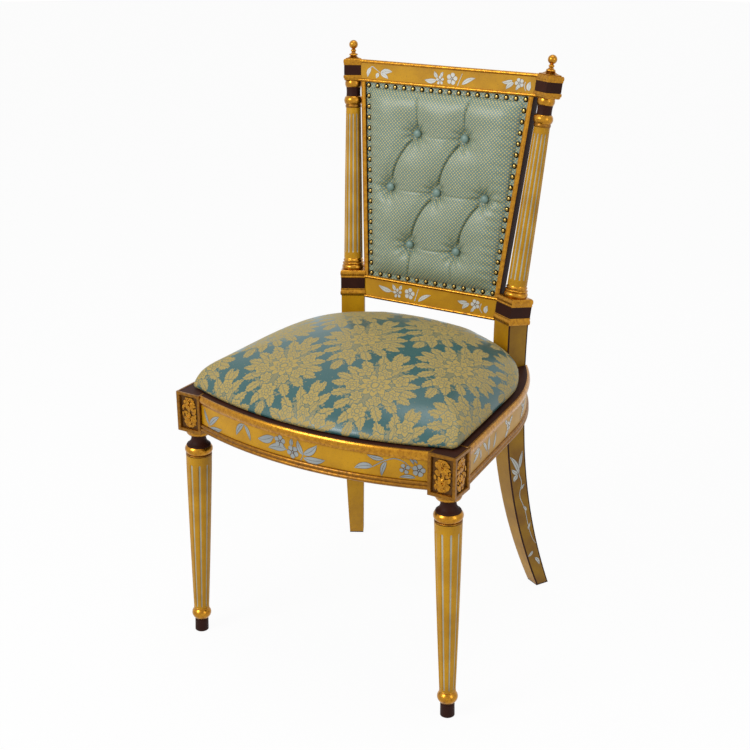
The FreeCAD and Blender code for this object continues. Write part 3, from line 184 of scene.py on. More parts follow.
def floor_material():
    """White paper: it takes the chair's soft shadow, and is otherwise as white as the surroundings."""
    material = bpy.data.materials.new("white_paper_sweep")
    material.use_nodes = True
    material.node_tree.nodes.clear()
    paper = add_node(material, "BsdfDiffuse", {}, {"Color": linear("#F4F4F4")})
    white = add_node(material, "Emission", {}, {"Color": (1, 1, 1, 1), "Strength": 1.0})
    near = add_node(material, "Math", "MULTIPLY", {0: seen_directly(material), 1: 0.95})
    mixed = add_node(material, "MixShader", {}, {0: near[0], 1: paper[0], 2: white[0]})
    add_node(material, "OutputMaterial", {}, {"Surface": mixed[0]})
    return material


floor_mesh = bmesh.new()
bmesh.ops.create_circle(floor_mesh, segments=96, radius=12.0, cap_ends=True)
floor_data = bpy.data.meshes.new("floor")
floor_mesh.to_mesh(floor_data)
floor_mesh.free()
floor_data.materials.append(floor_material())
floor = add_object("floor", floor_data)
floor.location.z = -0.2 * MM

# %% [markdown]
# ## Finishes
# The frame is beech under paint and gold leaf. The ochre is a casein paint rubbed down and sealed with wax,
# so it is satin, a little uneven, with fine dark specks where the glaze stayed in the pores.

# %% Painted finishes
def new_material(name):
    material = bpy.data.materials.new(name)
    material.use_nodes = True
    return material, material.node_tree.nodes["Principled BSDF"]


def object_place(material):
    return add_node(material, "TexCoord")["Object"]


def antique_paint(name, colour, worn_colour, speck_colour, roughness, speck_share=0.62, gloss=0.26):
    """Rubbed paint: broad uneven patches 40 mm wide, and specks about 1 mm wide where the glaze stayed."""
    material, shader = new_material(name)
    place = object_place(material)
    patches = add_node(material, "TexNoise", {}, {"Vector": place, "Scale": 1 / (40 * MM), "Detail": 4.0})
    worn = add_node(material, "MapRange", {}, {"Value": patches["Fac"], "From Min": 0.35, "From Max": 0.7})
    body = add_node(material, "Mix", BLEND,
                    {"Factor": worn[0], "A": linear(colour), "B": linear(worn_colour)})
    specks = add_node(material, "TexNoise", {},
                      {"Vector": place, "Scale": 1 / (1.6 * MM), "Detail": 2.0, "Roughness": 0.7})
    speck = add_node(material, "MapRange", {},
                     {"Value": specks["Fac"], "From Min": speck_share, "From Max": 0.85, "To Max": 0.8})
    colours = add_node(material, "Mix", BLEND,
                       {"Factor": speck[0], "A": body["Result"], "B": linear(speck_colour)})
    grain = add_node(material, "TexNoise", {}, {"Vector": place, "Scale": 1 / (0.9 * MM)})
    bump = add_node(material, "Bump", {}, {"Height": grain["Fac"], "Strength": 0.12, "Distance": 0.2 * MM})
    fill(material, shader, {"Base Color": colours["Result"], "Normal": bump[0], "Roughness": roughness,
                            "IOR": 1.5, "Specular IOR Level": gloss})
    return material


ochre = antique_paint("ochre_casein_paint", "#C9930A", "#B07C08", "#6E450A", 0.42, 0.56)
# A darker copy of the ochre, painted shade on faces turned from the light: the sides of the back legs, and
# the backs of the back rails and of the rear seat rail.
shaded_ochre = antique_paint("ochre_paint_painted_shade", "#A0760F", "#80570C", "#5A3808", 0.45, 0.56)
umber = antique_paint("umber_paint", "#2A110A", "#37190F", "#120806", 0.55, gloss=0.12)
silver_paint = antique_paint("silver_white_paint", "#D9D9D2", "#BEC0BA", "#9A927C", 0.40)
silver_grey_paint = antique_paint("silver_grey_paint", "#A3A9A8", "#8A9090", "#6B6858", 0.40)
outline_paint = antique_paint("brown_outline_paint", "#4A2F12", "#3C260F", "#24160A", 0.5)
flute_paint = antique_paint("flute_silver_paint", "#BDBDAE", "#9C9B88", "#6F6540", 0.45)

# %% [markdown]
# Water gilding is gold leaf on red-brown clay, polished with a stone and rubbed through on its edges. It is a
# metal, but a worn one: the leaf is broken up by thin patches where the warm clay shows.

# %% Gilding
def gilding(name, leaf, deep, clay, roughness):
    """Gold leaf over clay: burnished leaf with rubbed patches about 5 mm wide."""
    material, shader = new_material(name)
    place = object_place(material)
    rub = add_node(material, "TexNoise", {},
                   {"Vector": place, "Scale": 1 / (5 * MM), "Detail": 6.0, "Roughness": 0.7})
    tone = add_node(material, "MapRange", {}, {"Value": rub["Fac"], "From Min": 0.32, "From Max": 0.68})
    gold = add_node(material, "Mix", BLEND, {"Factor": tone[0], "A": linear(leaf), "B": linear(deep)})
    bare = add_node(material, "MapRange", {},
                    {"Value": rub["Fac"], "From Min": 0.62, "From Max": 0.80, "To Max": 0.6})
    colours = add_node(material, "Mix", BLEND, {"Factor": bare[0], "A": gold["Result"], "B": linear(clay)})
    metal = add_node(material, "MapRange", {}, {"Value": bare[0], "To Min": 0.92, "To Max": 0.3})
    gloss = add_node(material, "MapRange", {},
                     {"Value": rub["Fac"], "From Min": 0.3, "From Max": 0.7,
                      "To Min": roughness - 0.06, "To Max": roughness + 0.14})
    dents = add_node(material, "TexNoise", {}, {"Vector": place, "Scale": 1 / (3.5 * MM), "Detail": 3.0})
    bump = add_node(material, "Bump", {}, {"Height": dents["Fac"], "Strength": 0.25, "Distance": 0.35 * MM})
    fill(material, shader, {"Base Color": colours["Result"], "Metallic": metal[0], "Roughness": gloss[0],
                            "Normal": bump[0], "Coat Weight": 0.15, "Coat Roughness": 0.12})
    return material


gilt = gilding("burnished_gilding", "#CA8F22", "#8E5A11", "#43260A", 0.24)
dull_gilt = gilding("matt_gilding", "#A06C18", "#6C4410", "#321C08", 0.36)
# A much darker copy of the gilding for the sunk ground of the block panels: painted shade in the recess
# behind the carved leaves.
shadow_gilt = gilding("sunk_ground_gilding_painted_shade", "#6A4412", "#3C240A", "#1E1106", 0.42)

# %% [markdown]
# Hidden pieces are plain: sawn beech for the corner blocks and boards, zinc steel screws and a black
# lining. They are seen only from below or behind, but each still needs its own finish.

# %% Plain finishes of the inside
def sawn_wood(name, colour, dark):
    """Sawn beech: stretched grain lines about 4 mm apart."""
    material, shader = new_material(name)
    stretch = add_node(material, "Mapping", {}, {"Vector": object_place(material), "Scale": (0.12, 1, 1)})
    grain = add_node(material, "TexNoise", {}, {"Vector": stretch[0], "Scale": 1 / (4 * MM), "Detail": 6.0})
    tint = add_node(material, "Mix", BLEND, {"Factor": grain["Fac"], "A": linear(colour), "B": linear(dark)})
    fill(material, shader, {"Base Color": tint["Result"], "Roughness": 0.6, "IOR": 1.5})
    return material


def woven_lining(name, colour, light):
    """Thin plain-woven lining, drawn with threads 1.5 mm wide so that they show."""
    material, shader = new_material(name)
    threads = add_node(material, "TexChecker", {},
                       {"Vector": object_place(material), "Color1": linear(colour), "Color2": linear(light),
                        "Scale": 1 / (1.5 * MM)})
    fill(material, shader, {"Base Color": threads["Color"], "Roughness": 0.85, "IOR": 1.45})
    return material


def plain_metal(name, colour, roughness):
    material, shader = new_material(name)
    fine = add_node(material, "TexNoise", {}, {"Vector": object_place(material), "Scale": 1 / (2 * MM)})
    tone = add_node(material, "MapRange", {},
                    {"Value": fine["Fac"], "To Min": roughness - 0.08, "To Max": roughness + 0.12})
    fill(material, shader, {"Base Color": linear(colour), "Metallic": 1.0, "Roughness": tone[0]})
    return material


beech = sawn_wood("sawn_beech", "#C9A26B", "#A87D48")
lining = woven_lining("black_lining", "#1C1A19", "#2C2927")
zinc = plain_metal("zinc_plated_steel", "#9C9D9F", 0.35)
# The nail heads carry painted light: a dark rim as a painted dark reflection, and a bright brass crown as a
# painted highlight.
nail_dark_reflection_rim = plain_metal("brass_rim_painted_dark_reflection", "#2C2412", 0.30)
nail_highlight_crown = plain_metal("brass_crown_painted_highlight", "#A58A4C", 0.25)

# %% [markdown]
# ## How a piece is finished
# Every piece of new mesh is closed the same way: doubles merged, faces turned outwards, edges sharper than 38
# degrees kept crisp, and a small bevel where the real edge is rubbed round and catches the light.

# %% Helpers for making pieces
def seat_piece(name, mesh, materials, nodes, bevel=0.0, sharp=38):
    bmesh.ops.remove_doubles(mesh, verts=mesh.verts, dist=0.002 * MM)
    bmesh.ops.recalc_face_normals(mesh, faces=mesh.faces)
    data = bpy.data.meshes.new(name)
    mesh.to_mesh(data)
    mesh.free()
    for material in materials:
        data.materials.append(material)
    data.shade_smooth()
    data.set_sharp_from_angle(angle=math.radians(sharp))
    piece = add_object(name, data)
    if bevel:
        edge = piece.modifiers.new("rubbed_edges", "BEVEL")
        edge.width = bevel * MM
        edge.segments = 2
        edge.limit_method = "ANGLE"
        edge.angle_limit = math.radians(50)
        edge.harden_normals = True
    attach(piece, "root")
    if nodes:
        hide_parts(*nodes)
    print(name, len(data.polygons), "faces")
    return piece


def newest(mesh, known, material):
    """Give the faces made since known was taken their material."""
    faces = [face for face in mesh.faces if face not in known]
    for face in faces:
        face.material_index = material
    return faces


def turn(mesh, profile, place, material=0, steps=64, square=False):
    """Turn a profile of radius and height about a frame's axis; square makes a four-sided moulding."""
    known = set(mesh.faces)
    reach = math.sqrt(2) if square else 1.0
    quarter = Matrix.Rotation(math.radians(45), 4, "Z") if square else Matrix.Identity(4)
    points = [Vector((radius * reach, 0, up)) * MM for radius, up in profile]
    spots = [mesh.verts.new(place @ quarter @ point) for point in points]
    edges = [mesh.edges.new(pair) for pair in zip(spots, spots[1:])]
    bmesh.ops.spin(mesh, geom=spots + edges, cent=place.translation, axis=place.to_3x3() @ Vector((0, 0, 1)),
                   angle=2 * math.pi, steps=4 if square else steps, use_merge=True)
    return newest(mesh, known, material)


def swell(start, end, bulge, count=8):
    """Points of an arc from start to end that stands out by bulge on its right-hand side."""
    start, end = Vector(start), Vector(end)
    across = end - start
    normal = Vector((across.y, -across.x)).normalized()
    points = []
    for step in range(count + 1):
        share = step / count
        points.append(start.lerp(end, share) + normal * (bulge * 4 * share * (1 - share)))
    return [(point.x, point.y) for point in points]


def smooth_between(a, b, c, d, t):
    """A point of the smooth curve from b to c, at share t, that also heeds a and d beside them."""
    square, cube = 2 * a - 5 * b + 4 * c - d, 3 * b - a - 3 * c + d
    return 0.5 * (2 * b + (c - a) * t + square * t * t + cube * t ** 3)


def loft(mesh, rings, place, material_of=None, capped=True, closed=True):
    """Extrude one ring of points from place to place; material_of takes a ring's and a column's number."""
    count = len(rings[0])
    columns = range(count if closed else count - 1)
    current = [mesh.verts.new(place @ (Vector(spot) * MM)) for spot in rings[0]]
    for corner in columns:
        mesh.edges.new((current[corner], current[(corner + 1) % count]))
    ends = [current]
    for level, ring in enumerate(rings[1:]):
        edges = [mesh.edges.get((current[i], current[(i + 1) % count])) for i in columns]
        made = set(bmesh.ops.extrude_edge_only(mesh, edges=edges)["geom"])
        above = []
        for vertex, spot in zip(current, ring):
            beside = [edge.other_vert(vertex) for edge in vertex.link_edges]
            partner = next(other for other in beside if other in made)
            partner.co = place @ (Vector(spot) * MM)
            above.append(partner)
        if material_of:
            for column in columns:
                onward = (column + 1) % count
                quad = [current[column], current[onward], above[onward], above[column]]
                face = next(f for f in quad[0].link_faces if all(corner in f.verts for corner in quad))
                face.material_index = material_of(level, column)
        current = above
        ends.append(current)
    if capped:
        for ring, level in ((ends[0], 0), (ends[-1], len(rings) - 2)):
            cap = bmesh.ops.contextual_create(mesh, geom=ring)["faces"]
            for face in cap:
                face.material_index = material_of(level, 0) if material_of else 0
    return ends


# %% [markdown]
# ## Fluted shafts
# A flute is a round-bottomed groove cut down a tapering shaft, with a rounded nose at each end. The shaft is
# a ring of vertices extruded upwards. In each ring the vertices are pulled in where a flute runs, and they
# close up towards the middle of the flute at its ends, so the nose comes out round.

# %% A fluted shaft
FLUTE_COLUMNS = (-1.0, -0.76, -0.5, 0.0, 0.5, 0.76)
SILVER_COLUMNS = (2, 3)
RIDGE_COLUMNS = 4


def fluted_shaft(mesh, place, levels, radius_at, count, half_at, depth, flute_span, materials, turn_by=0.0):
    """Extrude a shaft through the levels; materials are the shaft's and the flutes' numbers."""
    low, high = flute_span
    rings = []
    open_levels = []
    for up in levels:
        radius = radius_at(up)
        half = half_at(up)
        inside = low <= up <= high
        near = min(up - low, high - up) if inside else 0.0
        nose = math.sqrt(max(0.0, 1 - (1 - min(near / half, 1.0)) ** 2)) if inside else 0.0
        nose = max(nose, 0.02)
        open_levels.append(inside)
        ring = []
        for flute in range(count):
            middle = turn_by + 2 * math.pi * flute / count
            half_angle = half * nose / radius
            rest = math.pi / count - half_angle
            for share in FLUTE_COLUMNS:
                angle = middle + share * half_angle
                sunk = depth * nose * math.sqrt(max(0.0, 1 - share * share)) if inside else 0.0
                ring.append(((radius - sunk) * math.cos(angle), (radius - sunk) * math.sin(angle), up))
            for step in range(RIDGE_COLUMNS):
                angle = middle + half_angle + 2 * rest * step / RIDGE_COLUMNS
                ring.append((radius * math.cos(angle), radius * math.sin(angle), up))
        rings.append(ring)
    columns = len(FLUTE_COLUMNS) + RIDGE_COLUMNS

    def material_of(level, column):
        in_flute = column % columns in SILVER_COLUMNS
        return materials[1] if in_flute and open_levels[level] and open_levels[level + 1] else materials[0]

    loft(mesh, rings, place, material_of, capped=False)


def flute_levels(low, high, start, stop, nose):
    """Heights of a shaft's rings: close together at the flutes' noses and wide apart between them."""
    close = [0, 0.03, 0.12, 0.3, 0.55, 0.8, 1.0]
    levels = {low, high}
    levels.update(start + nose * share for share in close)
    levels.update(stop - nose * share for share in close)
    levels.update(start + nose + (stop - start - 2 * nose) * step / 12 for step in range(13))
    return sorted(levels)


# %% [markdown]
# ## Front legs
# Each front leg is one turning under a square block. From the block down: a gilt ovolo, a dark bell, a gilt
# ring, the fluted shaft, a gilt ankle and a dark foot. The profiles are turned one by one, each with its own
# finish, because on the real leg the painter changed colour at each of these members.

# %% Front legs
FLUTES_PER_LEG = 9
GILT, DARK, PAINT, FLUTE, DULL, SUNK = range(6)
LEG_FINISHES = (gilt, umber, ochre, flute_paint, dull_gilt, shadow_gilt)
SHAFT_TOP, SHAFT_FOOT, SHAFT_LONG = -46.5, -337.0, 290.5
FLUTES_LOW, FLUTES_HIGH = -333.5, -60.5


def leg_block(mesh, side):
    """The block: two faces with a sunk panel, and a dark top inside a gilt rim."""
    known = set(mesh.faces)
    place = at(side * LEG_X, LEG_Y, (BLOCK_LOW + SEAT_TOP) / 2)
    scale = Matrix.Diagonal((BLOCK_WIDE * MM, BLOCK_DEEP * MM, (SEAT_TOP - BLOCK_LOW) * MM, 1))
    bmesh.ops.create_cube(mesh, size=1.0, matrix=place @ scale)
    faces = newest(mesh, known, DULL)
    mesh.normal_update()
    shown = [face for face in faces if face.normal.y < -0.9 or face.normal.x * side > 0.9]
    top = [face for face in faces if face.normal.z > 0.9]
    bmesh.ops.inset_individual(mesh, faces=shown, thickness=6.6 * MM, depth=0.0)
    bmesh.ops.inset_individual(mesh, faces=shown, thickness=1.2 * MM, depth=-1.1 * MM)
    bmesh.ops.inset_individual(mesh, faces=shown, thickness=0.2 * MM, depth=-2.9 * MM)
    for face in shown:
        # The sunk panel's floor takes the darker gilding, painted shade in the recess.
        face.material_index = SUNK
    bmesh.ops.inset_individual(mesh, faces=top, thickness=4.2 * MM, depth=0.0)
    bmesh.ops.inset_individual(mesh, faces=top, thickness=0.3 * MM, depth=-0.4 * MM)
    top[0].material_index = DARK


def leg_radius(up):
    """Radius of the shaft at a height under the block: a taper with a slight swelling."""
    share = (SHAFT_TOP - up) / SHAFT_LONG
    return 21.4 - 8.5 * share + 0.5 * math.sin(math.pi * share)


def front_leg(word, side):
    mesh = bmesh.new()
    leg_block(mesh, side)
    place = leg_frame(side)
    turn(mesh, [(0, 0.4), (21.0, 0.4)] + swell((21.5, 0), (20.9, -3.4), -0.5, 4), place, GILT)
    turn(mesh, [(19.8, -3.6)] + swell((20.6, -4.0), (13.6, -11.6), -2.0) + [(12.4, -12.2)], place, GILT)
    turn(mesh, [(12.6, -11.4)] + swell((12.4, -12.2), (19.4, -28.4), 3.0, 12)
         + swell((19.5, -28.6), (19.2, -30.6), -0.5, 3) + [(17.6, -31.2)], place, DARK)
    turn(mesh, [(18.2, -30.2)] + swell((20.0, -30.4), (20.6, -43.0), -2.6, 12) + [(19.0, -44.2)], place, GILT)
    turn(mesh, [(18.8, -43.6)] + swell((20.6, -43.8), (20.6, -46.4), -0.9, 5) + [(18.4, -46.8)], place, DULL)
    levels = flute_levels(SHAFT_FOOT, SHAFT_TOP, FLUTES_LOW, FLUTES_HIGH, 5.5)
    fluted_shaft(mesh, place, levels, leg_radius, FLUTES_PER_LEG,
                 lambda up: 2.1 + 0.9 * (up - SHAFT_FOOT) / SHAFT_LONG, 1.7,
                 (FLUTES_LOW, FLUTES_HIGH), (PAINT, FLUTE), -math.pi / 2)
    turn(mesh, [(12.6, -336.6), (13.2, -337.2)] + swell((13.2, -338.0), (12.0, -340.5), 0.5, 4), place, GILT)
    turn(mesh, swell((12.0, -340.4), (12.6, -357.5), -4.1, 12) + [(11.4, -358.8)], place, GILT)
    turn(mesh, swell((11.2, -358.4), (10.6, -362.0), 0.5, 3) + [(11.3, -362.6), (11.5, -382.5), (0, -382.5)],
         place, DARK)
    seat_piece("front_leg_" + word, mesh, LEG_FINISHES, ["leg_front_" + word], bevel=0.5)


for word, side in SIDES:
    front_leg(word, side)

# %% [markdown]
# ## Back posts
# A post is one long piece of wood. Below it is a sabre leg of square section, which sweeps back and narrows
# to the floor. Above a square plinth it is turned as a fluted column, and a square cap takes the finial.
# The outer face carries a dark painted line beside its front edge and a thinner one at its back.

# %% Back posts
FLUTES_PER_COLUMN = 12
LEG_BEND, LEG_RISE, LEG_TOP, FOOT_HALF = 330.0, 196.8, 526.8, 13.25
FRONT_EDGE = ((85.0, 0.0), (-3.0, LEG_BEND), (-8.7, LEG_TOP))
BACK_EDGE = ((110.95, 0.0), (34.5, LEG_BEND), (32.3, LEG_TOP))
FRONT_LINE, BACK_LINE = 3.6, 2.4
COLUMN_FOOT, COLUMN_LONG = 150.8, 262.0
POST_FINISHES = (gilt, umber, ochre, flute_paint, dull_gilt, shaded_ochre)
SHADED_OCHRE = 5


def bow_between(start, end, radius):
    """How far an arc of this radius stands off the middle of its chord."""
    chord = math.dist(start, end)
    return radius - math.sqrt(radius * radius - chord * chord / 4)


def edge_depth(edge, radii, up):
    """Depth of a sabre leg's edge at a height, along two arcs."""
    part = 0 if up <= edge[1][1] else 1
    start, end = edge[part], edge[part + 1]
    share = (up - start[1]) / (end[1] - start[1])
    bow = bow_between(start, end, radii[part])
    return start[0] + (end[0] - start[0]) * share - bow * 4 * share * (1 - share)


def half_width(up):
    return POST_HALF if up >= LEG_BEND else FOOT_HALF + (POST_HALF - FOOT_HALF) * up / LEG_BEND


def sabre_leg(mesh, side):
    levels = [0, 2.4] + [LEG_BEND * step / 18 for step in range(1, 19)]
    levels += [LEG_BEND + LEG_RISE * step / 8 for step in range(1, 9)]
    rings = []
    for up in levels:
        front = edge_depth(FRONT_EDGE, (965, 1860), up)
        back = edge_depth(BACK_EDGE, (1080, 1640), up)
        half = half_width(up)
        outer = [(half, front), (half, front + FRONT_LINE), (half, back - BACK_LINE), (half, back)]
        inner = [(-x, y) for x, y in reversed(outer)]
        rings.append([(side * x, y, up) for x, y in outer + inner])

    # The side faces take the darker ochre as painted shade; the thin dark lines beside the edges are real
    # paint.
    def material_of(level, column):
        if level == 0 or column in (0, 2, 4, 6):
            return DARK
        return SHADED_OCHRE if column in (1, 5) else PAINT

    loft(mesh, rings, post_frame(side), material_of)


def column_radius(up):
    share = (up - COLUMN_FOOT) / COLUMN_LONG
    return 16.5 - 3.6 * share + 0.35 * math.sin(math.pi * share)


def back_post(word, side):
    mesh = bmesh.new()
    sabre_leg(mesh, side)
    place = lean_frame(side)
    low = 85.3
    turn(mesh, [(0, low), (21.2, low)] + swell((21.6, low + 0.4), (21.6, low + 8.2), 0.7, 6)
         + [(21.3, low + 8.6), (21.3, low + 10.2)] + swell((21.4, low + 10.2), (21.3, low + 12.2), 0.4, 3)
         + [(0, low + 12.2)], place, GILT, square=True)
    band = low + 12.2
    turn(mesh, [(0, band), (21.15, band), (21.15, band + 19.3), (0, band + 19.3)], place, DARK, square=True)
    cap = band + 19.3
    turn(mesh, [(0, cap), (21.3, cap)] + swell((21.4, cap), (21.4, cap + 2.2), 0.4, 3)
         + [(21.4, cap + 3.6)] + swell((21.6, cap + 3.8), (21.6, cap + 11.6), 0.7, 6)
         + [(20.9, cap + 12.6), (19.6, cap + 13.5), (0, cap + 13.5)], place, GILT, square=True)
    base = cap + 13.5
    turn(mesh, [(0, base - 0.4), (18.0, base - 0.2)] + swell((18.5, base), (18.2, base + 9.0), 1.8, 10)
         + [(17.4, base + 9.6)], place, GILT)
    turn(mesh, [(17.6, base + 9.2)] + swell((18.3, base + 9.6), (18.0, base + 13.0), 1.1, 6)
         + [(16.8, base + 13.6), (16.9, base + 15.0)]
         + swell((17.2, base + 15.0), (16.6, base + 18.2), 0.8, 5)
         + [(16.2, base + 18.8), (16.0, base + 20.9)], place, GILT)
    shaft = base + 20.5
    levels = flute_levels(shaft, shaft + COLUMN_LONG, shaft + 10.0, shaft + 252.0, 4.5)
    fluted_shaft(mesh, place, levels, column_radius, FLUTES_PER_COLUMN,
                 lambda up: 2.6 - 0.6 * (up - shaft) / COLUMN_LONG, 1.2,
                 (shaft + 10.0, shaft + 252.0), (PAINT, FLUTE))
    collar = shaft + COLUMN_LONG
    turn(mesh, [(12.6, collar - 0.4)] + swell((13.2, collar), (13.4, collar + 5.0), 0.7, 5)
         + [(13.0, collar + 6.2)], place, DULL)
    turn(mesh, [(12.8, collar + 5.6)] + swell((13.9, collar + 6.0), (13.9, collar + 19.0), 2.2, 12)
         + [(12.6, collar + 19.8)], place, GILT)
    gorge = collar + 19.0
    turn(mesh, [(12.8, gorge - 0.2)] + swell((12.4, gorge + 0.6), (12.6, gorge + 16.0), -0.5, 8), place, DARK)
    turn(mesh, [(12.4, gorge + 15.6)] + swell((13.0, gorge + 16.0), (13.6, gorge + 27.0), 1.2, 10)
         + [(0, gorge + 27.4)], place, GILT)
    head = gorge + 27.0
    turn(mesh, [(0, head), (13.8, head)] + swell((14.0, head), (15.4, head + 3.6), 0.5, 4)
         + swell((16.0, head + 3.8), (16.0, head + 9.0), 0.6, 5) + [(0, head + 9.5)],
         place, GILT, square=True)
    turn(mesh, [(0, head + 9.3), (15.5, head + 9.3), (15.5, head + 26.0), (0, head + 26.0)],
         place, DARK, square=True)
    top = head + 25.8
    turn(mesh, [(0, top), (15.7, top)] + swell((15.8, top), (15.9, top + 2.6), 0.3, 3)
         + swell((16.1, top + 3.0), (16.1, top + 9.0), 0.6, 5) + [(15.4, top + 10.2), (0, top + 10.2)],
         place, GILT, square=True)
    seat_piece("back_post_" + word, mesh, POST_FINISHES, ["post_back_" + word], bevel=0.5)
    finial(word, side, top + 10.2)


def finial(word, side, up):
    """A square foot that sweeps in to a stalk, a small bead and a ball."""
    mesh = bmesh.new()
    place = lean_frame(side, up)
    turn(mesh, [(0, -0.2), (13.0, 0.0), (13.2, 1.4)] + swell((12.6, 1.6), (3.4, 11.0), -2.4, 10)
         + [(0, 11.2)], place, GILT, square=True)
    turn(mesh, [(0, 6.4)] + swell((8.4, 6.4), (7.4, 8.6), -0.5, 4) + [(4.4, 10.0), (3.2, 11.6)]
         + swell((3.2, 11.8), (3.2, 16.6), 1.5, 8) + [(2.7, 17.6)], place, GILT, steps=48)
    ball = [(7.5 * math.cos(a), 24.4 + 7.5 * math.sin(a)) for a in
            [math.radians(-68 + 158 * step / 18) for step in range(19)]]
    turn(mesh, [(2.7, 17.4)] + ball[:-1] + [(0, 31.9)], place, GILT, steps=48)
    seat_piece("finial_top_" + word, mesh, [gilt], ["finial_" + word], bevel=0.3)


for word, side in SIDES:
    back_post(word, side)

# %% [markdown]
# ## Seat rails and their gilt beads
# The front rail is a shallow bow and each side rail runs straight, then bends in to its back post. Three
# mouldings follow one path: the rail, a round bead at its top, and two small rounds at its foot. So each path
# is a list of stations, and one section after another is extruded along it and cut where it meets a post.

# %% Paths of the seat rails
BOW_Y, BOW_RADIUS, BOW_HALF = 371.3, 626.0, 208.0
BEND = Vector((-109.7, -11.85))
BEND_RADIUS, BEND_FROM, BEND_TO = 346.0, math.radians(4.4), math.radians(36.0)


def bow_station(along):
    """Place and outward direction on the front rail's face, by distance along it from the middle."""
    angle = along / BOW_RADIUS
    out = Vector((math.sin(angle), -math.cos(angle)))
    return Vector((0, BOW_Y)) + out * BOW_RADIUS, out


def side_station(along):
    """The same on the right side rail, by distance from where its bend begins."""
    angle = BEND_FROM + max(along, 0.0) / BEND_RADIUS
    out = Vector((math.cos(angle), math.sin(angle)))
    back_on = Vector((-math.sin(BEND_FROM), math.cos(BEND_FROM))) * min(along, 0.0)
    return BEND + out * BEND_RADIUS + back_on, out


BOW_STEPS = [-220 + 440 * step / 44 for step in range(45)]
SIDE_STEPS = [-196, -150, -100, -50] + [(BEND_TO - BEND_FROM) * BEND_RADIUS * step / 24 for step in range(25)]
RAILS = {
    "front": (bow_station, BOW_STEPS, 1),
    "right": (side_station, SIDE_STEPS, 1),
    "left": (side_station, SIDE_STEPS, -1),
}


def on_rail(name, along, out_by, height):
    """A point on a rail: along it, out from its face, and at a height, in metres."""
    station, steps, side = RAILS[name]
    spot, out = station(along)
    spot = spot + out * out_by
    return Vector((side * spot.x, spot.y, height)) * MM


def cut_away(mesh, point, normal, capped=True):
    """Cut the mesh by a plane and keep the side that the normal points away from."""
    geometry = list(mesh.verts) + list(mesh.edges) + list(mesh.faces)
    cut = bmesh.ops.bisect_plane(mesh, geom=geometry, dist=0.0001 * MM, plane_co=Vector(point) * MM,
                                 plane_no=normal, clear_outer=True)
    if capped:
        edges = [item for item in cut["geom_cut"] if isinstance(item, bmesh.types.BMEdge)]
        bmesh.ops.contextual_create(mesh, geom=edges)


def run_moulding(name, section, material_of=None):
    """Extrude a section of (out, height) points along a rail and trim it to the legs and posts."""
    mesh = bmesh.new()
    rings = []
    for along in RAILS[name][1]:
        rings.append([on_rail(name, along, out, height) / MM for out, height in section])
    loft(mesh, rings, Matrix.Identity(4), material_of)
    if name == "front":
        cut_away(mesh, (BOW_HALF, 0, 0), (1, 0, 0))
        cut_away(mesh, (-BOW_HALF, 0, 0), (-1, 0, 0))
    else:
        side = RAILS[name][2]
        cut_away(mesh, (0, -176.1, 0), (0, -1, 0))
        post = post_frame(side)
        face = post @ (Vector((side * POST_HALF, 0, 0)) * MM)
        cut_away(mesh, face / MM, -side * (post.to_3x3() @ Vector((1, 0, 0))))
    return mesh


# A paler, duller copy of the ochre for the side rails: painted sheen, standing in for the pale sheen they
# show at a grazing angle.
side_rail_sheen_paint = antique_paint("ochre_paint_painted_sheen", "#C79A45", "#B88A3C", "#8C6424", 0.42)
RAIL_SECTION = ((-26, RAIL_LOW), (0, RAIL_LOW), (0, SEAT_TOP - 0.3), (-26, SEAT_TOP - 0.3))
TOP_BEAD = ([(-1.0, 435.6), (2.1, 436.0), (2.3, 437.3)] + swell((2.4, 437.6), (2.4, 448.9), 1.6, 10)
            + [(2.1, 449.2), (1.6, 450.3), (-1.0, 450.4)])
LOW_BEAD = ([(-1.0, 388.3), (1.9, 388.6)] + swell((2.0, 388.8), (2.0, 394.9), 2.0, 8)
            + swell((2.0, 395.3), (2.0, 401.3), 1.7, 8) + [(1.2, 401.6), (-1.0, 401.8)])
for name in RAILS:
    # The front rail takes the ochre, the side rails its paler copy with the painted sheen.
    face_paint = ochre if name == "front" else side_rail_sheen_paint
    rail = run_moulding(name, RAIL_SECTION, lambda level, column: (2, 0, 1, 2)[column])
    seat_piece("rail_of_" + name, rail, [face_paint, umber, beech], ["seat_rail_" + name],
               bevel=0.4)
    seat_piece("top_bead_" + name, run_moulding(name, TOP_BEAD), [gilt], ["bead_top_" + name])
    seat_piece("double_bead_" + name, run_moulding(name, LOW_BEAD), [dull_gilt], ["bead_low_" + name])

# %% [markdown]
# ## Frame of the back
# Two painted rails and two thin stiles stand between the posts, in the plane of the back. Four gilt strips
# run along the rails' edges. Each is a bar with a short section, extruded from post to post.

# %% Rails, strips and stiles of the back
PANEL_LOW, PANEL_HIGH = 124.1, 457.9
BACK_FRONT, BACK_BACK = -7.0, 15.0


def panel_half(up):
    """Half the upholstered panel's width at a height in the back's plane."""
    return 123.5 + 29.5 * (up - PANEL_LOW) / (PANEL_HIGH - PANEL_LOW)


def post_line(up):
    return POST_X + up * 0.067


def back_bar(name, low, high, inset, front, rear, materials, nodes, section=None):
    """A bar across the back between two heights, let in to the posts by the inset."""
    mesh = bmesh.new()
    section = section or [(front, low), (rear, low), (rear, high), (front, high)]
    rings = []
    for step in range(25):
        share = -1 + step / 12
        rings.append([(share * (post_line(up) - inset), depth, up) for depth, up in section])
    # The rear face takes the last material, which on the painted rails is the darker ochre, painted shade.
    rear_finish = len(materials) - 1
    loft(mesh, rings, back_frame(), lambda level, column: rear_finish if column == 1 else 0)
    seat_piece(name, mesh, materials, nodes, bevel=0.5 if len(section) == 4 else 0.0)


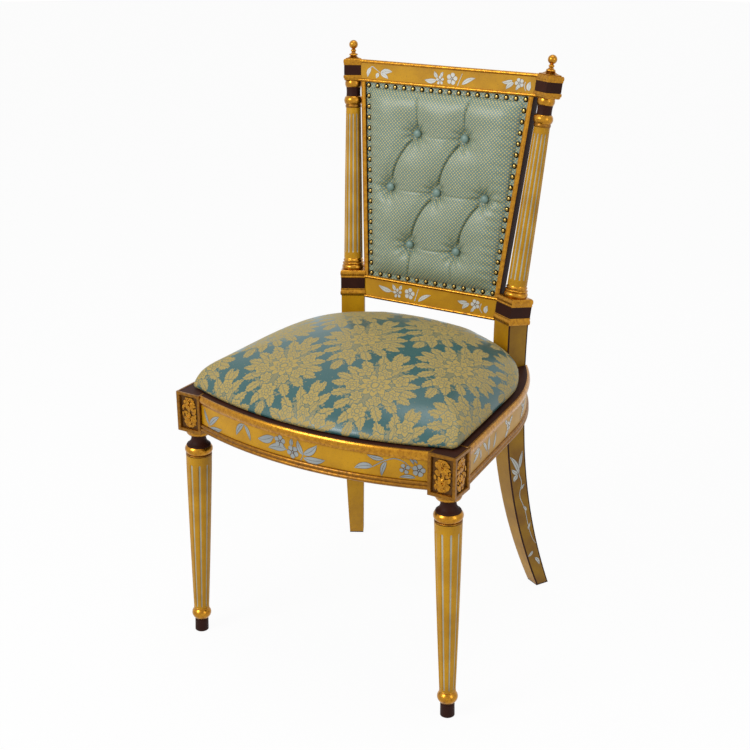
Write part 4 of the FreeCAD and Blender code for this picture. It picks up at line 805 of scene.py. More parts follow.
back_bar("back_top_rail", PANEL_HIGH, 494.5, 8, BACK_FRONT, BACK_BACK, [ochre, shaded_ochre], ["back_rail_top"])
back_bar("back_foot_rail", 84.3, PANEL_LOW, 10, BACK_FRONT, BACK_BACK, [ochre, shaded_ochre], ["back_rail_bottom"])
STRIPS = {"crest": (489.1, 494.7), "upper": (457.9, 463.4), "lower": (118.6, 124.1), "foot": (84.1, 89.6)}
for name, (low, high) in STRIPS.items():
    bead = ([(BACK_FRONT + 0.5, low), (BACK_FRONT - 0.6, low + 0.1)]
            + swell((BACK_FRONT - 0.8, low + 0.3), (BACK_FRONT - 0.8, high - 0.3), -1.4)
            + [(BACK_FRONT - 0.6, high - 0.1), (BACK_FRONT + 0.5, high)])
    back_bar("gilt_strip_" + name, low, high, 14, 0, 0, [gilt], ["back_strip_" + name], bead)


def stile(word, side):
    """A stile: gilt on its rounded front, dark on its sides."""
    mesh = bmesh.new()
    rings = []
    for step in range(25):
        up = PANEL_LOW + (PANEL_HIGH - PANEL_LOW) * step / 24
        inner, outer = panel_half(up), panel_half(up) + 8.4
        nose = swell((inner + 0.2, BACK_FRONT), (outer - 0.2, BACK_FRONT), 1.1, 6)
        section = [(inner, BACK_BACK), (inner, BACK_FRONT + 0.6)] + nose
        section += [(outer, BACK_FRONT + 0.6), (outer, BACK_BACK)]
        rings.append([(side * x, depth, up) for x, depth in section])
    last = len(rings[0]) - 1
    loft(mesh, rings, back_frame(), lambda level, column: 1 if column in (0, last - 1, last) else 0)
    seat_piece("stile_" + word, mesh, [gilt, umber], ["back_stile_" + word])


for word, side in SIDES:
    stile(word, side)

# %% [markdown]
# ## Carved panels of the blocks
# Each block has two sunk panels of pierced leaf carving. A carved leaf is a little grid bent into a cupped,
# curling blade and given a thickness. Two rings of them round three berries make a rosette, and a panel holds
# two rosettes, with single leaves that fill its corners.

# %% Carvings
def blade(mesh, place, length, width, rise, curl, thick=0.7, ribs=4):
    """One carved leaf: narrow at both ends, cupped across, and lifted at its tip."""
    grid = bmesh.ops.create_grid(mesh, x_segments=6, y_segments=ribs, size=0.5)["verts"]
    for vertex in grid:
        share, across = vertex.co.x + 0.5, vertex.co.y * 2
        half = width / 2 * math.sin(math.pi * min(0.12 + 0.86 * share, 0.98)) ** 0.7
        lift = rise * math.sin(math.pi * share * 0.9) * (1 - 0.55 * across * across) + curl * share ** 3
        vertex.co = Vector((share * length, across * half, lift + 0.5 * abs(across) * rise * 0.4)) * MM
    faces = list({face for vertex in grid for face in vertex.link_faces})
    walls = bmesh.ops.extrude_face_region(mesh, geom=faces)["geom"]
    lower = [item for item in walls if isinstance(item, bmesh.types.BMVert)]
    bmesh.ops.translate(mesh, verts=lower, vec=(0, 0, -thick * MM))
    bmesh.ops.transform(mesh, matrix=place, verts=grid + lower)


def rosette(mesh, place, radius, leaves, seed):
    """Two rings of leaves round three berries; the inner ring stands higher."""
    chance = random.Random(seed)
    for ring, (reach, wide, rise) in enumerate(((radius, 0.52, 0.6), (radius * 0.62, 0.66, 1.9))):
        for number in range(leaves - 2 * ring):
            angle = 2 * math.pi * (number + 0.5 * ring) / (leaves - 2 * ring) + chance.uniform(-0.2, 0.2)
            turned = place @ Matrix.Rotation(angle, 4, "Z")
            blade(mesh, turned @ at(1.2, 0, rise), reach * chance.uniform(0.85, 1.05), reach * wide,
                  chance.uniform(1.0, 1.6), chance.uniform(-1.4, 0.3))
    for number in range(3):
        angle = 2 * math.pi * number / 3 + chance.random()
        spot = place @ at(1.4 * math.cos(angle), 1.4 * math.sin(angle), 3.0)
        bmesh.ops.create_icosphere(mesh, subdivisions=2, radius=1.2 * MM, matrix=spot)


CORNER_LEAVES = ((-8, 21.5, 30), (8, 21.5, 150), (-8, -21.5, -30), (8, -21.5, -150),
                 (-12, 2, 80), (12, -2, 260),
                 (-12, -8, 100), (12, 8, -80), (-2, 23.5, 10), (2, -23.5, 190), (-11, 14, 70), (11, 15, 110),
                 (-11, -15, -70), (11, -14, -110), (-4, 0, 170), (4, 0, -10))


def carving(node, place, seed):
    mesh = bmesh.new()
    chance = random.Random(seed)
    rosette(mesh, place @ at(0, 12.4, 0), 12.5, 8, seed + 1)
    rosette(mesh, place @ at(0, -12.4, 0), 12.5, 8, seed + 2)
    for x, y, turned in CORNER_LEAVES:
        spot = place @ at(x, y, 0.5) @ Matrix.Rotation(math.radians(turned + chance.uniform(-25, 25)), 4, "Z")
        blade(mesh, spot, 8.5, 5.0, 1.5, 0.6)
    turn_only = place.to_3x3()
    for x, y in ((1, 0), (-1, 0), (0, 1), (0, -1)):
        point = place @ (Vector((13.8 * x, 25.8 * y, 0)) * MM)
        cut_away(mesh, point / MM, turn_only @ Vector((x, y, 0)), capped=False)
    seat_piece(node + "_leaves", mesh, [gilt], [node], sharp=60)


PANEL_MIDDLE = (BLOCK_LOW + SEAT_TOP) / 2
PANEL_SUNK = 4.0
for word, side in SIDES:
    upright = Matrix.Rotation(math.pi / 2, 4, "X")
    front_place = at(side * LEG_X, LEG_Y - BLOCK_DEEP / 2 + PANEL_SUNK, PANEL_MIDDLE) @ upright
    outer_place = (at(side * (LEG_X + BLOCK_WIDE / 2 - PANEL_SUNK), LEG_Y, PANEL_MIDDLE)
                   @ Matrix.Rotation(side * math.pi / 2, 4, "Z") @ upright)
    carving("carving_front_" + word, front_place, 11 + side)
    carving("carving_side_" + word, outer_place, 31 + side)

# %% [markdown]
# ## Painted sprays
# Leaves, blossoms and stems are painted in silver white with a brown outline. A brush lays them on as thin
# flat shapes, so each is a small grid laid a tenth of a millimetre above the wood. The grid's outer strips
# take the outline's colour and its middle strip the vein's. The sprays are drawn fresh, in a common style.

# %% Brush strokes, laid on a surface
LIGHT, RIM = 0, 1
LEAF_ACROSS = ((-1, -0.55), (-1, 0), (0, -0.28), (0, 0.28), (1, 0), (1, 0.55))
PETAL_ACROSS = ((-1, -0.5), (-1, 0), (0, 0), (1, 0), (1, 0.5))
STEM_ACROSS = ((-1, -0.35), (-1, 0), (1, 0), (1, 0.35))


def stroke(canvas, spine, half_of, across, colours, steps=10):
    """Lay a strip along a spine. Each column stands off it by a share of half_of and a fixed margin."""
    rows = []
    for step in range(steps + 1):
        share = step / steps
        spot, ahead = spine(share), spine(min(share + 0.01, 1.0)) - spine(max(share - 0.01, 0.0))
        normal = Vector((-ahead.y, ahead.x)).normalized()
        close = min(1.0, 8 * share, 8 * (1 - share))
        half, margins = half_of(share), close * canvas["rim"]
        row = [spot + normal * (factor * half + margin * margins) for factor, margin in across]
        rows.append([canvas["place_of"](point.x, point.y, canvas["height"]) / MM for point in row])
    loft(canvas["mesh"], rows, Matrix.Identity(4), lambda level, column: colours[column],
         capped=False, closed=False)
    canvas["height"] += 0.01


def curve_between(start, end, bend=0.0):
    start, end = Vector(start), Vector(end)
    across = Vector((start.y - end.y, end.x - start.x)).normalized()
    return lambda share: start.lerp(end, share) + across * (bend * 4 * share * (1 - share))


def leaf(canvas, start, end, width, bend=2.0):
    stroke(canvas, curve_between(start, end, bend),
           lambda share: width / 2 * math.sin(math.pi * share ** 0.8) ** 0.9,
           LEAF_ACROSS, (RIM, LIGHT, RIM, LIGHT, RIM))


def stem(canvas, points, width=1.3):
    points = [Vector(point) for point in points]

    def spine(share):
        place = share * (len(points) - 1)
        part = min(int(place), len(points) - 2)
        first, last = max(part - 1, 0), min(part + 2, len(points) - 1)
        return smooth_between(points[first], points[part], points[part + 1], points[last], place - part)

    stroke(canvas, spine, lambda share: width / 2 * (1.1 - 0.5 * share), STEM_ACROSS, (RIM, LIGHT, RIM),
           6 * (len(points) - 1))


def blossom(canvas, middle, radius, petals=5, turned=0.3, width=0.78):
    """Petals round a dark eye with a pale middle."""
    middle = Vector(middle)
    for number in range(petals):
        angle = turned + 2 * math.pi * number / petals
        out = Vector((math.cos(angle), math.sin(angle)))
        stroke(canvas, curve_between(middle + out * radius * 0.14, middle + out * radius, 0.0),
               lambda share: radius * width / 2 * math.sin(math.pi * min(share ** 1.5 * 0.93, 1.0)) ** 0.75,
               PETAL_ACROSS, (RIM, LIGHT, LIGHT, RIM), 8)
    for size, colour in ((0.24, RIM), (0.13, LIGHT)):
        disc = bmesh.ops.create_circle(canvas["mesh"], segments=12, radius=radius * size,
                                       cap_ends=True)["verts"]
        for face in disc[0].link_faces:
            face.material_index = colour
        for vertex in disc:
            spot = Vector((vertex.co.x, vertex.co.y)) + middle
            vertex.co = canvas["place_of"](spot.x, spot.y, canvas["height"] + 0.03)
        canvas["height"] += 0.01


def paint(name, place_of, leaves=(), stems=(), blossoms=(), silver=silver_paint, rim=1.0):
    canvas = {"mesh": bmesh.new(), "place_of": place_of, "height": 0.08, "rim": rim}
    for points in stems:
        stem(canvas, points)
    for row in leaves:
        leaf(canvas, *row)
    for row in blossoms:
        blossom(canvas, *row)
    mesh = canvas["mesh"]
    bmesh.ops.recalc_face_normals(mesh, faces=mesh.faces)
    bmesh.ops.solidify(mesh, geom=list(mesh.faces), thickness=0.05 * MM)
    seat_piece(name, mesh, [silver, outline_paint], [])


# %% Sprays on the seat rails
def rail_canvas(name):
    return lambda along, up, height: on_rail(name, along, height, RAIL_LOW + up)


paint("painted_sprays_front", rail_canvas("front"),
      leaves=(((-191, 18), (-203, 43), 5.5, 1), ((-190, 17), (-163, 40), 8.5, 2),
              ((-188, 14), (-157, 20), 8, -2),
              ((-105, 45), (-122, 22), 9, -3), ((-103, 45), (-91, 21), 6.5, 2),
              ((-44, 41), (-75, 30), 13, 3), ((-20, 25), (-54, 20), 12, -3), ((-9, 34), (-8, 46), 6.5, 1),
              ((11, 24), (2, 46), 8.5, 2), ((12, 25), (36, 45), 10.5, -3), ((12, 19), (50, 23), 11, -3),
              ((144, 42), (118, 45.5), 7, 2), ((127, 27), (98, 20), 10, -3), ((148, 38), (141, 14), 7, -2),
              ((183, 46.5), (190, 38), 3, 1), ((188, 46.5), (195, 40), 3, 1),
              ((192, 17), (168, 15.5), 5.5, -2)),
      stems=(((-191, 13.5), (-192, 17), (-191, 21)), ((-104, 47), (-104.5, 44)), ((-46, 41), (-38, 38)),
             ((-26, 34), (-20, 26), (-12, 25)), ((7, 13.8), (10, 20), (12, 27)),
             ((127, 27), (137, 34), (147, 40), (160, 44.5), (173, 42), (181, 36), (188, 32))),
      blossoms=(((-31, 36.5), 10, 5, 0.2), ((-7, 24.5), 10.5, 5, 0.9), ((176, 30), 8.2, 4, 0.5),
                ((197, 29.5), 10, 5, 0.1)),
      silver=silver_grey_paint)
SIDE_LEAVES = (((-146, 42), (-172, 26), 7, 2), ((-149, 44), (-170, 41), 5, 2),
               ((-143, 38), (-141, 19), 4.5, 1), ((-133, 44), (-115, 22), 5.5, 2),
               ((-108, 22), (-107, 45), 8.5, 1), ((-89, 18), (-80, 42), 6, -2),
               ((-30, 34), (-41, 44), 6, -1), ((-20, 30), (-6, 41), 5.5, 2), ((-28, 24), (-39, 15), 6.5, 1),
               ((48, 36), (38, 46), 5.5, 1), ((57, 30), (72, 42), 6, 2), ((50, 26), (36, 17), 6.5, -2),
               ((118, 28), (100, 40), 7, 2), ((124, 26), (146, 34), 7, -2), ((120, 22), (108, 15.5), 5, 1))
for name in ("right", "left"):
    paint("painted_sprays_" + name, rail_canvas(name), leaves=SIDE_LEAVES,
          stems=(((-145, 43), (-138, 46)), ((-108, 14), (-108, 24)), ((-26, 18), (-25, 30)),
                 ((54, 15), (53, 27)), ((120, 14.5), (121, 28))),
          blossoms=(((-25, 30), 7.5, 5, 0.3), ((53, 31), 7.5, 5, 0.8)))


# %% Sprays on the back's rails and on the back legs
def back_canvas(x, up, height):
    return back_frame() @ (Vector((x, BACK_FRONT - height, up)) * MM)


paint("painted_sprays_top", back_canvas,
      leaves=(((-143, 482), (-148.5, 466), 7, -2), ((-124, 475), (-101, 478), 8.5, 1.5),
              ((-124, 474), (-108, 466), 7, 1),
              ((-127, 474), (-131, 465), 6.5, -1),
              ((-16, 471), (-38, 470), 8, 2), ((-14, 475), (-20.5, 485), 6, 1), ((-7, 476), (-4, 485), 5, 1),
              ((32, 467), (56, 479), 7, 2),
              ((122, 481), (104, 477), 6.5, 2), ((125, 477), (112, 466), 7.5, -2),
              ((132, 474), (129, 466), 4.5, 1),
              ((153, 466.5), (154, 481), 8, 2)),
      stems=(((-144, 482), (-140, 484), (-133, 480), (-125, 475)), ((24, 465), (31.5, 485)),
             ((145, 480), (144, 473), (147, 466))),
      blossoms=(((-9, 471), 7.5, 5, 0.4, 0.6), ((13, 475), 9.8, 5, 0.15), ((135, 477.5), 8, 5, 0.7)), rim=0.5)
paint("painted_sprays_foot", back_canvas,
      leaves=(((-74, 103), (-101, 110), 8, 2), ((-66, 106), (-72, 116), 6, 1), ((-57, 107), (-54, 116), 6, 1),
              ((-20, 93), (4, 108), 7, 2), ((74, 108), (56, 107), 7, 2), ((79, 105), (66, 94), 7.5, -2),
              ((87, 100), (82, 92), 5, 1), ((111, 94), (113, 107), 8, 2)),
      stems=(((-27, 93), (-21, 115)), ((-75, 103), (-68, 101)), ((101, 109), (99, 100), (104, 93))),
      blossoms=(((-62, 101), 8.5, 5, 0.4, 0.6), ((-38, 104), 10, 5, 0.15), ((90, 106), 8.5, 5, 0.7)), rim=0.5)
for word, side in SIDES:
    def leg_canvas(depth, up, height, side=side):
        return post_frame(side) @ (Vector((side * (half_width(up) + height), depth, up)) * MM)

    paint("painted_branch_" + word, leg_canvas,
          leaves=(((28, 246), (6, 283), 8, -3), ((29, 256), (33, 289), 6.5, 1), ((26, 245), (12, 257), 7, 1),
                  ((26, 243), (19, 231), 9, -2), ((35, 212), (42, 222), 4.5, 1),
                  ((50, 166), (41, 178), 4.5, -1),
                  ((57, 126), (61, 140), 4.5, 1), ((70, 78), (60, 68), 6, 2), ((76, 62), (88, 44), 6, 2)),
          stems=(((29, 262), (28, 246), (35, 226), (33, 200), (46, 170), (56, 135), (66, 108), (76, 92)),))

# %% [markdown]
# ## Seat cushion
# The cushion is a crowned pad over its stuffing, held down at its foot. Rings of points follow the seat's
# outline, from the tacked edge to the crown. The skin is then blown up a little as real cloth, so that it
# swells between its edges. A UV map keeps the fabric's own measure: the distance along the cloth from the
# crown.

# %% Outline of the cushion
CUSHION_LOW, CUSHION_TALL, CUSHION_DRIFT = 450.8, 82.6, 62.0
CUSHION_MIDDLE = Vector((0, -50))
CROWN_OVAL = (234, 200)
PROFILE_REACH = 225
CUSHION_PROFILE = ([(0.960, 0.0), (0.982, 0.02), (0.995, 0.06)]
                   + [(0.995 * (1 - r ** 2.32) ** 0.495, 0.05 + 0.95 * r) for r in
                      (0.08, 0.16, 0.26, 0.38, 0.5, 0.6, 0.7, 0.79, 0.86, 0.92, 0.96, 0.99, 1.0)])


def arc_points(middle, radius, start, end, count):
    return [middle + Vector((math.cos(angle), math.sin(angle))) * radius
            for angle in [start + (end - start) * step / count for step in range(count + 1)]]


def cushion_outline(count):
    """Points spaced evenly round the cushion: bow, corner, side, rear corner, flank and straight back."""
    bow, side = BOW_RADIUS - 6.0, BEND_RADIUS - 8.5
    straight = BEND + Vector((math.cos(BEND_FROM), math.sin(BEND_FROM))) * side
    edge_y = BOW_Y - math.sqrt(bow * bow - straight.x ** 2) + 12.0
    edge = Vector((straight.x + (straight.y - edge_y) * math.tan(BEND_FROM), edge_y))
    front_x = edge.x - 12.0
    front = math.asin(front_x / bow)
    right = arc_points(Vector((0, BOW_Y)), bow, -math.pi / 2, -math.pi / 2 + front, 24)
    right += arc_points(edge + Vector((-13.2, 0)), 13.2, -0.9, 0.0, 5)
    right += [straight]
    bend, turned = math.radians(8.0), math.radians(62.0)
    right += arc_points(BEND, side, BEND_FROM, bend, 2)
    rear_middle = BEND + Vector((math.cos(bend), math.sin(bend))) * (side - 110.0)
    right += arc_points(rear_middle, 110.0, bend, turned, 12)
    flank = right[-1] + Vector((-math.sin(turned), math.cos(turned))) * 50.0
    right += [flank, Vector((flank.x - 9.0, 150.0)), Vector((flank.x - 16.0, 152.0)), Vector((0, 152.0))]
    loop = right + [Vector((-point.x, point.y)) for point in reversed(right[1:-1])]
    lengths = [(loop[(i + 1) % len(loop)] - loop[i]).length for i in range(len(loop))]
    spots, part, before = [], 0, 0.0
    for number in range(count):
        goal = sum(lengths) * number / count
        while before + lengths[part] < goal:
            before += lengths[part]
            part += 1
        share = (goal - before) / lengths[part]
        spots.append(loop[part].lerp(loop[(part + 1) % len(loop)], share))
    return spots


def along_profile(profile, count):
    """Smooth points through a profile, spaced evenly along it as the cloth runs."""
    fine = []
    for part in range(len(profile) - 1):
        near = (max(part - 1, 0), part, part + 1, min(part + 2, len(profile) - 1))
        a, b, c, d = [Vector(profile[number]) for number in near]
        fine += [smooth_between(a, b, c, d, step / 12) for step in range(12)]
    fine.append(Vector(profile[-1]))
    scaled = [Vector((point.x * PROFILE_REACH, point.y * CUSHION_TALL)) for point in fine]
    reach = [0.0]
    for low, high in zip(scaled, scaled[1:]):
        reach.append(reach[-1] + (high - low).length)
    picked = []
    for number in range(count):
        goal = reach[-1] * number / (count - 1)
        part = max(i for i in range(len(reach) - 1) if reach[i] <= goal + 1e-9)
        share = (goal - reach[part]) / max(reach[part + 1] - reach[part], 1e-9)
        picked.append(fine[part].lerp(fine[part + 1], min(share, 1.0)))
    return picked


# %% Cloth, blown up and settled
def inflate(piece, held, pressure, frames, cap):
    """Blow up a piece as cloth. held gives each vertex's pinning; no point moves further than cap."""
    start = [vertex.co.copy() for vertex in piece.data.vertices]
    group = piece.vertex_groups.new(name="held")
    for number, weight in enumerate(held):
        if weight > 0:
            group.add([number], weight, "REPLACE")
    cloth = piece.modifiers.new("cloth", "CLOTH")
    settings = cloth.settings
    settings.quality = 6
    settings.mass = 0.25
    settings.tension_stiffness = settings.compression_stiffness = 30
    settings.shear_stiffness = 12
    settings.bending_stiffness = 2.0
    settings.use_pressure = True
    settings.uniform_pressure_force = pressure
    settings.vertex_group_mass = "held"
    settings.effector_weights.gravity = 0.0
    cloth.collision_settings.use_collision = False
    cloth.point_cache.frame_start, cloth.point_cache.frame_end = 1, frames
    for number in range(1, frames + 1):
        bpy.context.scene.frame_set(number)
    shaped = piece.evaluated_get(bpy.context.evaluated_depsgraph_get()).to_mesh()
    moves = [shaped.vertices[i].co - spot for i, spot in enumerate(start)]
    piece.modifiers.remove(cloth)
    piece.vertex_groups.clear()
    for vertex, spot, move in zip(piece.data.vertices, start, moves):
        vertex.co = spot + (move if move.length < cap * MM else move.normalized() * cap * MM)
    bpy.context.scene.frame_set(1)
    return max(move.length for move in moves) / MM


# %% [markdown]
# ## Damask
# Damask is woven so that its figure is dull and its ground is a glossy satin. The figure is a bouquet in each
# pointed cell of a net. A cell is found by folding the UV map, and each leaf or flower is a small field of
# its own place, size and turn. They are laid one over the other, with a thin darker line round each.

# %% Fields of leaves and flowers
DAMASK_WIDE, DAMASK_TALL, DAMASK_SHIFT = 170.0, 228.0, 58.0


def lay_over(material, figure, field, drawn, margin, tone):
    """Lay a drawn shape over the figure so far, which keeps only a share of its tone in a margin round it."""
    clear = add_node(material, "Math", "LESS_THAN", {0: field, 1: -margin})
    rim = add_node(material, "Math", "MULTIPLY_ADD", {0: clear[0], 1: 1 - tone, 2: tone})
    kept = add_node(material, "Math", "MULTIPLY", {0: figure, 1: rim[0]})
    return add_node(material, "Math", "MAXIMUM", {0: kept[0], 1: drawn})[0]


def leaf_field(material, cloth, figure, x, y, turned, length, width):
    """Lay a pointed, saw-edged leaf over the figure so far, with half-tone veins and a half-tone outline."""
    local = add_node(material, "Mapping", {"vector_type": "TEXTURE"},
                     {"Vector": cloth, "Location": (x, y, 0), "Rotation": (0, 0, math.radians(turned)),
                      "Scale": (length / 2, width / 2, 1)})
    parts = add_node(material, "SeparateXYZ", {}, {0: local[0]})
    square = add_node(material, "Math", "MULTIPLY", {0: parts[0], 1: parts[0]})
    across = add_node(material, "Math", "ABSOLUTE", {0: parts[1]})
    teeth = add_node(material, "Math", "PINGPONG", {0: parts[0], 1: 0.17})
    edge = add_node(material, "Math", "MULTIPLY_ADD", {0: teeth[0], 1: 1.7, 2: 0.86})
    rounded = add_node(material, "Math", "SUBTRACT", {0: edge[0], 1: square[0]})
    field = add_node(material, "Math", "SUBTRACT", {0: rounded[0], 1: across[0]})
    body = add_node(material, "Math", "GREATER_THAN", {0: field[0], 1: 0.0})
    slant = add_node(material, "Math", "MULTIPLY_ADD", {0: across[0], 1: -0.6, 2: parts[0]})
    rib = add_node(material, "Math", "PINGPONG", {0: slant[0], 1: 0.17})
    solid = add_node(material, "Math", "GREATER_THAN", {0: rib[0], 1: 0.035})
    beside = add_node(material, "Math", "GREATER_THAN", {0: across[0], 1: 0.11})
    lines = add_node(material, "Math", "MULTIPLY", {0: solid[0], 1: beside[0]})
    shaded = add_node(material, "Math", "MULTIPLY_ADD", {0: lines[0], 1: 0.55, 2: 0.45})
    drawn = add_node(material, "Math", "MULTIPLY", {0: body[0], 1: shaded[0]})
    return lay_over(material, figure, field[0], drawn[0], 2.4 / width, 0.25)


def flower_field(material, cloth, figure, x, y, turned, radius, petals):
    """Lay a flower over the figure: lobed petals with gaps, an inner ring of petals and an eye."""
    local = add_node(material, "Mapping", {"vector_type": "TEXTURE"},
                     {"Vector": cloth, "Location": (x, y, 0), "Rotation": (0, 0, math.radians(turned)),
                      "Scale": (radius, radius, 1)})
    reach = add_node(material, "VectorMath", "LENGTH", {0: local[0]})["Value"]
    angle = add_node(material, "TexGradient", {"gradient_type": "RADIAL"}, {0: local[0]})
    lobes = add_node(material, "Math", "MULTIPLY", {0: angle["Fac"], 1: float(petals)})
    lobe = add_node(material, "Math", "PINGPONG", {0: lobes[0], 1: 0.5})
    edge = add_node(material, "Math", "MULTIPLY_ADD", {0: lobe[0], 1: 0.62, 2: 0.70})
    field = add_node(material, "Math", "SUBTRACT", {0: edge[0], 1: reach})
    drawn = add_node(material, "Math", "GREATER_THAN", {0: field[0], 1: 0.0})[0]
    petal = add_node(material, "Math", "GREATER_THAN", {0: lobe[0], 1: 0.055})[0]
    inner = add_node(material, "Math", "LESS_THAN", {0: reach, 1: 0.30})[0]
    petal = add_node(material, "Math", "MAXIMUM", {0: petal, 1: inner})[0]
    middle = add_node(material, "Math", "MULTIPLY", {0: edge[0], 1: 0.58})[0]
    rings = [petal]
    for place, wide in ((middle, 0.045), (0.24, 0.05)):
        ring = add_node(material, "Math", "COMPARE", {0: reach, 1: place, 2: wide})[0]
        rings.append(add_node(material, "Math", "SUBTRACT", {0: 1.0, 1: ring})[0])
    for ring in rings:
        shaded = add_node(material, "Math", "MULTIPLY_ADD", {0: ring, 1: 0.6, 2: 0.4})[0]
        drawn = add_node(material, "Math", "MULTIPLY", {0: drawn, 1: shaded})[0]
    return lay_over(material, figure, field[0], drawn, 1.4 / radius, 0.2)


# %% Folding the cloth into cells
def damask_cell(material):
    """The cloth's place in millimetres, shaken a little, then folded into half of one pointed cell."""
    cloth = add_node(material, "UVMap", {"uv_map": "cloth"})[0]
    scaled = add_node(material, "VectorMath", "SCALE", {0: cloth, "Scale": 1 / MM})
    shake = add_node(material, "TexNoise", {}, {"Vector": scaled[0], "Scale": 1 / 9.0, "Detail": 1.0})
    moved = add_node(material, "VectorMath", "MULTIPLY_ADD",
                     {0: shake["Color"], 1: (5.0, 5.0, 0), 2: scaled[0]})
    parts = add_node(material, "SeparateXYZ", {}, {0: moved[0]})
    half, rise = DAMASK_WIDE / 2, DAMASK_TALL / 2
    x = add_node(material, "Math", "PINGPONG", {0: parts[0], 1: half})[0]
    y = add_node(material, "Math", "WRAP", {0: parts[1], 1: rise, 2: -rise})[0]
    high = add_node(material, "Math", "ABSOLUTE", {0: y})[0]
    across = add_node(material, "Math", "DIVIDE", {0: x, 1: half})[0]
    reach = add_node(material, "Math", "MULTIPLY_ADD", {0: high, 1: 1 / rise, 2: across})[0]
    other = add_node(material, "Math", "GREATER_THAN", {0: reach, 1: 1.0})[0]
    sign = add_node(material, "Math", "SIGN", {0: y})[0]
    other_x = add_node(material, "Math", "SUBTRACT", {0: half, 1: x})[0]
    other_y = add_node(material, "Math", "MULTIPLY_ADD", {0: sign, 1: -rise, 2: y})[0]
    here = add_node(material, "CombineXYZ", {}, {0: x, 1: y})[0]
    there = add_node(material, "CombineXYZ", {}, {0: other_x, 1: other_y})[0]
    cell = add_node(material, "Mix", {"data_type": "VECTOR"}, {0: other, 4: here, 5: there})[1]
    return scaled[0], cell


DAMASK_LEAVES = ((54, 4, 5, 34, 16), (48, 21, 24, 36, 16), (35, 39, 42, 38, 17), (19, 60, 62, 38, 16),
                 (5, 81, 82, 32, 14), (54, -11, -10, 34, 15), (45, -30, -28, 36, 16), (31, -50, -48, 36, 16),
                 (14, -69, -66, 34, 15), (2, -88, -86, 29, 12), (23, 25, 50, 32, 15), (25, -13, -30, 32, 15),
                 (11, 44, 74, 29, 13), (12, -36, -70, 29, 13), (36, 8, 20, 27, 13), (35, -25, -10, 25, 12))
DAMASK_FLOWERS = ((0, 60, 90, 15, 6), (35, -10, 20, 14, 6), (32, 26, 60, 14, 5), (0, -56, 90, 17, 7),
                  (17, -29, 40, 11, 6), (0, 31, 90, 13, 6), (0, 2, 90, 26, 9))


def damask(name, ground, figure_colour, shade, sheen_colour):
    """Satin ground with a dull gold figure. Threads are drawn 1.1 mm apart, so coarse that they show."""
    material, shader = new_material(name)
    cloth, cell = damask_cell(material)
    parts = add_node(material, "SeparateXYZ", {}, {0: cell})
    high = add_node(material, "Math", "ABSOLUTE", {0: parts[1]})[0]
    across = add_node(material, "Math", "MULTIPLY", {0: parts[0], 1: 2 / DAMASK_WIDE})[0]
    reach = add_node(material, "Math", "MULTIPLY_ADD", {0: high, 1: 2 / DAMASK_TALL, 2: across})
    ragged = add_node(material, "TexNoise", {}, {"Vector": cell, "Scale": 1 / 7.0, "Detail": 2.0})
    edge = add_node(material, "Math", "MULTIPLY_ADD", {0: ragged["Fac"], 1: 1.1, 2: 0.16})
    mass = add_node(material, "Math", "LESS_THAN", {0: reach[0], 1: edge[0]})
    figure = add_node(material, "Math", "MULTIPLY", {0: mass[0], 1: 0.5})[0]
    for row in DAMASK_LEAVES:
        figure = leaf_field(material, cell, figure, *row)
    for row in DAMASK_FLOWERS:
        figure = flower_field(material, cell, figure, *row)
    threads = add_node(material, "TexWave", {"bands_direction": "DIAGONAL"},
                       {"Vector": cloth, "Scale": 1 / 1.1 / 6.28, "Distortion": 0.6, "Detail": 1.0})
    tone = add_node(material, "TexNoise", {}, {"Vector": cloth, "Scale": 1 / 2.4, "Detail": 3.0})
    gold = add_node(material, "Mix", BLEND,
                    {"Factor": tone["Fac"], "A": linear(figure_colour), "B": linear(shade)})
    satin = add_node(material, "Mix", BLEND,
                     {"Factor": tone["Fac"], "A": linear(ground), "B": linear("#356566")})
    colours = add_node(material, "Mix", BLEND, {"Factor": figure, "A": satin["Result"], "B": gold["Result"]})
    rough = add_node(material, "MapRange", {}, {"Value": figure, "To Min": 0.28, "To Max": 0.68})
    raised = add_node(material, "Math", "MULTIPLY_ADD", {0: threads["Fac"], 1: 0.25, 2: figure})
    bump = add_node(material, "Bump", {}, {"Height": raised[0], "Strength": 0.35, "Distance": 0.25 * MM})
    fill(material, shader, {"Base Color": colours["Result"], "Roughness": rough[0], "Normal": bump[0],
                            "IOR": 1.5, "Specular IOR Level": 0.55, "Sheen Weight": 0.12,
                            "Sheen Roughness": 0.35, "Sheen Tint": linear(sheen_colour)})
    return material


seat_damask = damask("teal_and_gold_silk_damask", "#234E4E", "#C0A860", "#9A8140", "#A9D3DA")


